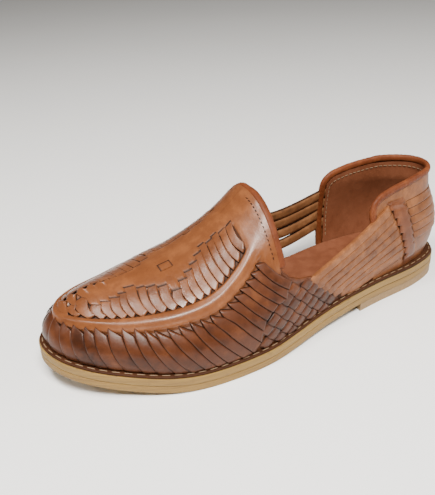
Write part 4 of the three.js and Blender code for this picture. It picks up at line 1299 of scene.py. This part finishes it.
bands(leather("band_leather", (0.05, 0.014, 0.004), (0.10, 0.029, 0.009), (0.17, 0.053, 0.018), 0.38,
              coat=0.1))


# %% [markdown]
# Round the back of the heel five strips run from band to band, at one height all the way, each laid
# over the next.

# %% Heel strips
def heel_strips():
    """Five strips round the heel at steady heights, tucked under the two bands."""
    pile = Pile()
    heights = 38 + END_STEP * np.arange(6)
    u = np.linspace(0, 1, 70)
    w = SECTION[:, 0]
    for k in range(5):
        z = (heights[k] + heights[k + 1]) / 2 + w * 2.72
        turns = counter_turns(len(u), z, front=np.interp(z, COLUMN_Z, BAND_BACK) + 3.0)
        rise = rise_on(turns, z[:, None] + 0 * turns)
        lift, border = ribbon_lift(u[:, None], (0.03, 0.03), 0.75, -0.2, 0.0, 0.8)
        lift, border = lift.T, border.T
        pile.grid(on_upper(turns, rise, lift), tone=seed.uniform(0.35, 0.7), edge=border)
    pile.build("heel_strips", strap_leather)


heel_strips()

# %% [markdown]
# ## Rolled bindings
#
# A narrow strip of softer leather is folded over the throat's edge and over the counter's rim. A
# bevelled curve would give a round cord. This tube's section is flattened against the wall, it shrinks
# to a closed point at both ends, and its radii swell a little from crease to crease.

# %% Tube along an edge
def tube(pile, centre, away, across, wide, thick, crease):
    """Centre + away wide cos(a)^0.85 + across thick sin(a)^0.85, both times 1 + crease times a sum of
    sines of the run. The power squares the round section off a little."""
    a = np.linspace(0, 2 * np.pi, 16, endpoint=False)
    run = run_of(centre)
    fold = 1 + crease * (np.sin(run * 1.9 + 2 * np.sin(run * 0.31)) + 0.6 * np.sin(run * 0.83))
    cap = np.sqrt(np.clip(np.minimum(run, run[-1] - run) / 1.6, 0, 1))
    ca = np.sign(np.cos(a)) * np.abs(np.cos(a)) ** 0.85
    sa = np.sign(np.sin(a)) * np.abs(np.sin(a)) ** 0.85
    p = (centre[:, None] + away[:, None] * (ca[None] * (wide * fold * cap)[:, None])[..., None]
         + across[:, None] * (sa[None] * (thick * fold * cap)[:, None])[..., None])
    pile.grid(p, tone=0.55, edge=(1 - cap)[:, None] * 0.5 + 0 * p[..., 0], wrap=(False, True))


def edge_frames(points, away):
    """Unit directions at an edge: away from the cut, and through the wall."""
    tangent = unit(np.gradient(points, axis=0))
    across = unit(np.cross(tangent, away))
    return unit(np.cross(across, tangent)), across


def resample(values, run, count):
    """Values along a run read at even steps."""
    at = np.linspace(0, run[-1], count)
    return np.stack([np.interp(at, run, values[:, k]) for k in range(values.shape[1])], -1)


def smooth_line(values, times):
    """Repeated mean of three neighbours with weights 1, 2 and 1, the two ends kept."""
    values = values.copy()
    for _ in range(times):
        values[1:-1] = (values[:-2] + 2 * values[1:-1] + values[2:]) / 4
    return values


print("tube helpers ready")

# %% [markdown]
# The throat is the straight front edge of the opening, an arch over the instep from one side to the
# other. The edge is measured on both sides, joined, and made even before the tube follows it.

# %% Throat binding
THROAT_ENDS = {1: 0.605 * INSTEP, -1: 0.70 * INSTEP}
ROLL_REACH = 1.9


def throat():
    """Edge in the plane s = throat, from the outer side over the top to the inner side."""
    crown = upper_point(turn_at(1, THROAT, 0.9995), 0.9995)[2]
    halves = []
    for side, low in THROAT_ENDS.items():
        z = low + (crown - 0.02 - low) * np.sin(np.pi / 2 * np.linspace(0, 1, 60))
        turn, rise = on_side(side, THROAT + 0 * z, z)
        halves.append((upper_point(turn, rise), upper_normal(turn, rise)))
    p = np.concatenate([halves[0][0], halves[1][0][::-1][1:]])
    n = np.concatenate([halves[0][1], halves[1][1][::-1][1:]])
    return p, n


p, n = throat()
run = run_of(p)
p, n = smooth_line(resample(p, run, 200), 12), unit(smooth_line(resample(n, run, 200), 12))
away, across = edge_frames(p, np.broadcast_to([0.0, -1.0, 0.0], p.shape))
binding = Pile()
tube(binding, p - n * (WALL / 2 - 0.3) + away * ROLL_REACH, away, across, 2.45, 1.75, crease=0.012)
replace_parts(binding.build("throat_roll", binding_leather), "throat_binding")
print(f"throat's edge: {run[-1]:.0f} long")


# %% [markdown]
# The counter's binding goes up one front edge, round the rim and down the other front edge in one piece.

# %% Counter binding
def counter_edge():
    """Edge from the outer front corner along the rim, round the heel and back to the inner front corner."""
    lines = []
    for side in (1, -1):
        rows = RIM[side]
        s = rows[:, 0] * SOLE_LENGTH
        z = rows[:, 1] * INSTEP + rows[:, 2] * COUNTER
        # Behind the heel the edge runs across the shoe, so that part is filled in by the turn, below.
        keep = s > 9
        s, z = s[keep], z[keep]
        # On the outer side the straps hide the front edge, so the roll ends just below the corner.
        drop = z[0] - 10.0 if side > 0 else 15.0
        s, z = np.concatenate([[s[0] + 0.4], s]), np.concatenate([[drop], z])
        length = run_of(np.stack([s, z], -1))
        at = np.linspace(0, length[-1], 70)
        s, z = np.interp(at, length, s), np.interp(at, length, z)
        turn, rise = on_side(side, s, z)
        d = np.stack([np.gradient(s), np.gradient(z)], -1)
        d /= np.linalg.norm(d, axis=1, keepdims=True)
        lines.append((upper_point(turn, rise), upper_normal(turn, rise),
                      np.stack([0 * s, d[:, 1], -d[:, 0]], -1), turn))
    outer_line, inner_line = lines
    turns = np.linspace(outer_line[3][-1], inner_line[3][-1] - 360, 34)[1:-1]
    rise = rise_on(turns, 0 * turns + COUNTER)
    middle = (upper_point(turns, rise), upper_normal(turns, rise),
              np.broadcast_to([0.0, 0.0, 1.0], (len(turns), 3)))
    return [np.concatenate([outer_line[i], middle[i], inner_line[i][::-1]]) for i in range(3)]


p, n, direction = counter_edge()
run = run_of(p)
p, n, direction = (smooth_line(resample(values, run, 360), 10) for values in (p, n, direction))
n = unit(n)
away, across = edge_frames(p, unit(direction))
binding = Pile()
tube(binding, p - n * (WALL / 2 - 0.3) + away * ROLL_REACH, away, across, 2.4, 1.8, crease=0.02)
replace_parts(binding.build("counter_roll", binding_leather), "counter_binding")
print(f"counter's edge: {run[-1]:.0f} long")

# %% [markdown]
# ## Stitches
#
# A row of pale thread shows on the welt at the foot of the upper. Each stitch is a short bead between
# two holes, a small grid that is copied along the line, so it needs only a few dozen faces.

# %% Welt stitches
WELT_SEAM = 2.3


def welt_stitches(length=5.2, pitch=6.9):
    """Beads along the outline: lift = 0.4 (1 - v^2) (1 - u^8), with u along and v across a stitch."""
    turns = np.linspace(0, 360, 1441)
    run = run_of(np.stack(inset_point(turns, WELT_SEAM), -1))
    count = int(run[-1] / pitch)
    middle = (np.arange(count) + 0.5) * run[-1] / count
    u, v = np.meshgrid(np.linspace(-1, 1, 7), np.linspace(-1, 1, 5), indexing="ij")
    turn = np.interp(middle[:, None, None] + u * length / 2, run, turns)
    x, s = inset_point(turn, WELT_SEAM - 0.36 * v * np.ones_like(turn))
    z = welt_bottom(s) + WELT + 0.4 * (1 - v ** 2) * (1 - u ** 8) - 0.12
    pile = Pile()
    pile.grid(np.stack([x, s, z], -1), tone=0.6, edge=(u ** 8)[None] + 0 * turn, facing=(0, 0, 1))
    print("welt stitches:", count)
    return pile


thread = Shader("thread")
thread_twist = thread.noise(2500.0)
thread.set(Base_Color=thread.mix(thread_twist, (0.10, 0.06, 0.03), (0.28, 0.19, 0.11)), Roughness=0.8)
thread.bump(thread_twist, 0.0001)
welt_stitches().build("welt_stitches", thread.material)

# %% [markdown]
# At the throat the thread has sunk into the soft leather, so only a row of small dark marks is seen.

# %% Throat stitches
THROAT_SEAM = THROAT + 2.9


def throat_marks(pitch=2.7):
    """Marks 1.4 long and 0.6 wide in a row beside the throat's edge, on both sides of the middle."""
    pile = Pile()
    u, v = np.meshgrid(np.linspace(-1, 1, 5), np.linspace(-1, 1, 3), indexing="ij")
    for side in (1, -1):
        z = np.linspace(60, 0.985 * INSTEP, 200)
        run = run_of(upper_point(*on_side(side, THROAT_SEAM + 0 * z, z)))
        middle = np.arange(1, int(run[-1] / pitch)) * pitch
        at = np.interp(middle[:, None, None] + u * 0.7, run, z)
        turn, rise = on_side(side, THROAT_SEAM + 0.3 * v + 0 * at, at)
        lift = SHEET + 0.12 * (1 - np.abs(v)) + 0.02
        pile.grid(on_upper(turn, rise, np.broadcast_to(lift, turn.shape)), tone=0.1, edge=1.0)
    return pile


throat_marks().build("throat_marks", strip_leather)

# %% [markdown]
# The counter's binding is sewn on, and the seam shows as a fine row of stitches inside, just below the
# rolled edge. The line is the binding's own edge, moved through the wall and away from the rim.

# %% Stitches under the rim
RIM_SEAM = 3.4


def rim_stitches(pitch=3.4):
    """Beads 2.4 long and 0.56 wide inside the counter: lift = 0.3 (1 - v^2) (1 - u^4)."""
    line = p - n * (WALL + 0.05) - away * RIM_SEAM
    run = run_of(line)
    u, v = np.meshgrid(np.linspace(-1, 1, 5), np.linspace(-1, 1, 3), indexing="ij")
    middle = np.arange(2, int(run[-1] / pitch) - 1) * pitch
    at = middle[:, None, None] + u * 1.2
    spot, side_way, inward = (np.stack([np.interp(at, run, rows[:, k]) for k in range(3)], -1)
                              for rows in (line, away, -n))
    lift = (0.3 * (1 - v ** 2) * (1 - u ** 4) - 0.05)[None, :, :, None]
    pile = Pile()
    pile.grid(spot + side_way * 0.28 * v[None, :, :, None] + inward * lift, tone=0.5, facing=-1)
    return pile


rim_stitches().build("rim_stitches", thread.material)

# %% [markdown]
# ## Camera, floor and light
#
# The camera stands where the photograph's did: at the outer front side, a little above the shoe and
# close to it, which makes the toe large. Its direction is built from two angles and a roll, and its
# place from a distance behind a target, moved sideways until the shoe sits in the frame as in the
# photograph.

# %% Camera
VIEW_ANGLES = 64.14, 27.9, -2.84
VIEW_TARGET = 3.0, -98.0, 35.0
VIEW_DISTANCE, VIEW_RIGHT, VIEW_UP = 421.4, -30.02, 11.17
FOCAL_PIXELS, FRAME_HEIGHT = 644.6, 495


def aim():
    """back = (sin az cos el, -cos az cos el, sin el), right and up square to it and turned by the roll."""
    az, el, roll = np.radians(VIEW_ANGLES)
    back = np.array([np.sin(az) * np.cos(el), -np.cos(az) * np.cos(el), np.sin(el)])
    right0 = np.array([np.cos(az), np.sin(az), 0.0])
    up0 = np.cross(back, right0)
    right = np.cos(roll) * right0 + np.sin(roll) * up0
    up = -np.sin(roll) * right0 + np.cos(roll) * up0
    place = np.array(VIEW_TARGET) + back * VIEW_DISTANCE + right * VIEW_RIGHT + up * VIEW_UP
    data = bpy.data.cameras.new("camera")
    data.lens = FOCAL_PIXELS * data.sensor_width / FRAME_HEIGHT
    data.clip_start = 0.02
    camera = bpy.data.objects.new("camera", data)
    rows = np.vstack([np.stack([right, up, back, place / 1000], -1), [0, 0, 0, 1]])
    camera.matrix_world = Matrix(rows.tolist())
    bpy.context.scene.collection.objects.link(camera)
    bpy.context.scene.camera = camera
    print(f"camera {data.lens:.1f} mm at", np.round(place / 1000, 3))


aim()

# %% [markdown]
# The floor is a plain sheet of pale paper. Waxed leather mirrors whatever is around it, so the soft
# boxes are placed where the photograph's highlights ask for them: one long one from the outer side for
# the ridge, a small one over the toe for the strips, and two weak ones to lift the shadows.

# %% Floor
floor_mesh = bpy.data.meshes.new("floor")
floor_mesh.from_pydata([(-6, -6, 0), (6, -6, 0), (6, 6, 0), (-6, 6, 0)], [], [(0, 1, 2, 3)])
floor = bpy.data.objects.new("floor", floor_mesh)
bpy.context.scene.collection.objects.link(floor)
paper = Shader("paper")
paper.set(Base_Color=paper.mix(paper.noise(3.0), (0.86, 0.88, 0.90), (0.90, 0.92, 0.94)), Roughness=0.9)
floor_mesh.materials.append(paper.material)
print("floor:", floor.name)

# %% Light
LIGHT_COLOUR = 1.0, 0.95, 0.88
world = bpy.data.worlds.new("studio")
bpy.context.scene.world = world
world.use_nodes = True
surroundings = world.node_tree.nodes["Background"]
surroundings.inputs["Color"].default_value = (1.0, 0.94, 0.86, 1)
surroundings.inputs["Strength"].default_value = 0.22


def lamp(name, place, target, size, power):
    """Rectangular soft box aimed at a point, all in metres and watts."""
    data = bpy.data.lights.new(name, "AREA")
    data.shape = "RECTANGLE"
    data.size, data.size_y = size
    data.energy = power
    data.color = LIGHT_COLOUR
    made = bpy.data.objects.new(name, data)
    made.location = place
    made.rotation_euler = (Vector(target) - Vector(place)).to_track_quat("-Z", "Y").to_euler()
    bpy.context.scene.collection.objects.link(made)
    print("lamp", name, power, "W")


lamp("key", (0.59, -0.30, 0.99), (0.04, -0.16, 0.04), (0.42, 0.25), 30)
lamp("spot", (0.03, -0.54, 1.06), (0.03, -0.15, 0.06), (0.20, 0.18), 8)
lamp("front", (-0.1, -1.15, 0.8), (0, 0.05, 0.05), (0.3, 0.3), 3)
lamp("back", (0.6, 0.9, 0.6), (0, 0.0, 0.04), (0.5, 0.5), 6)
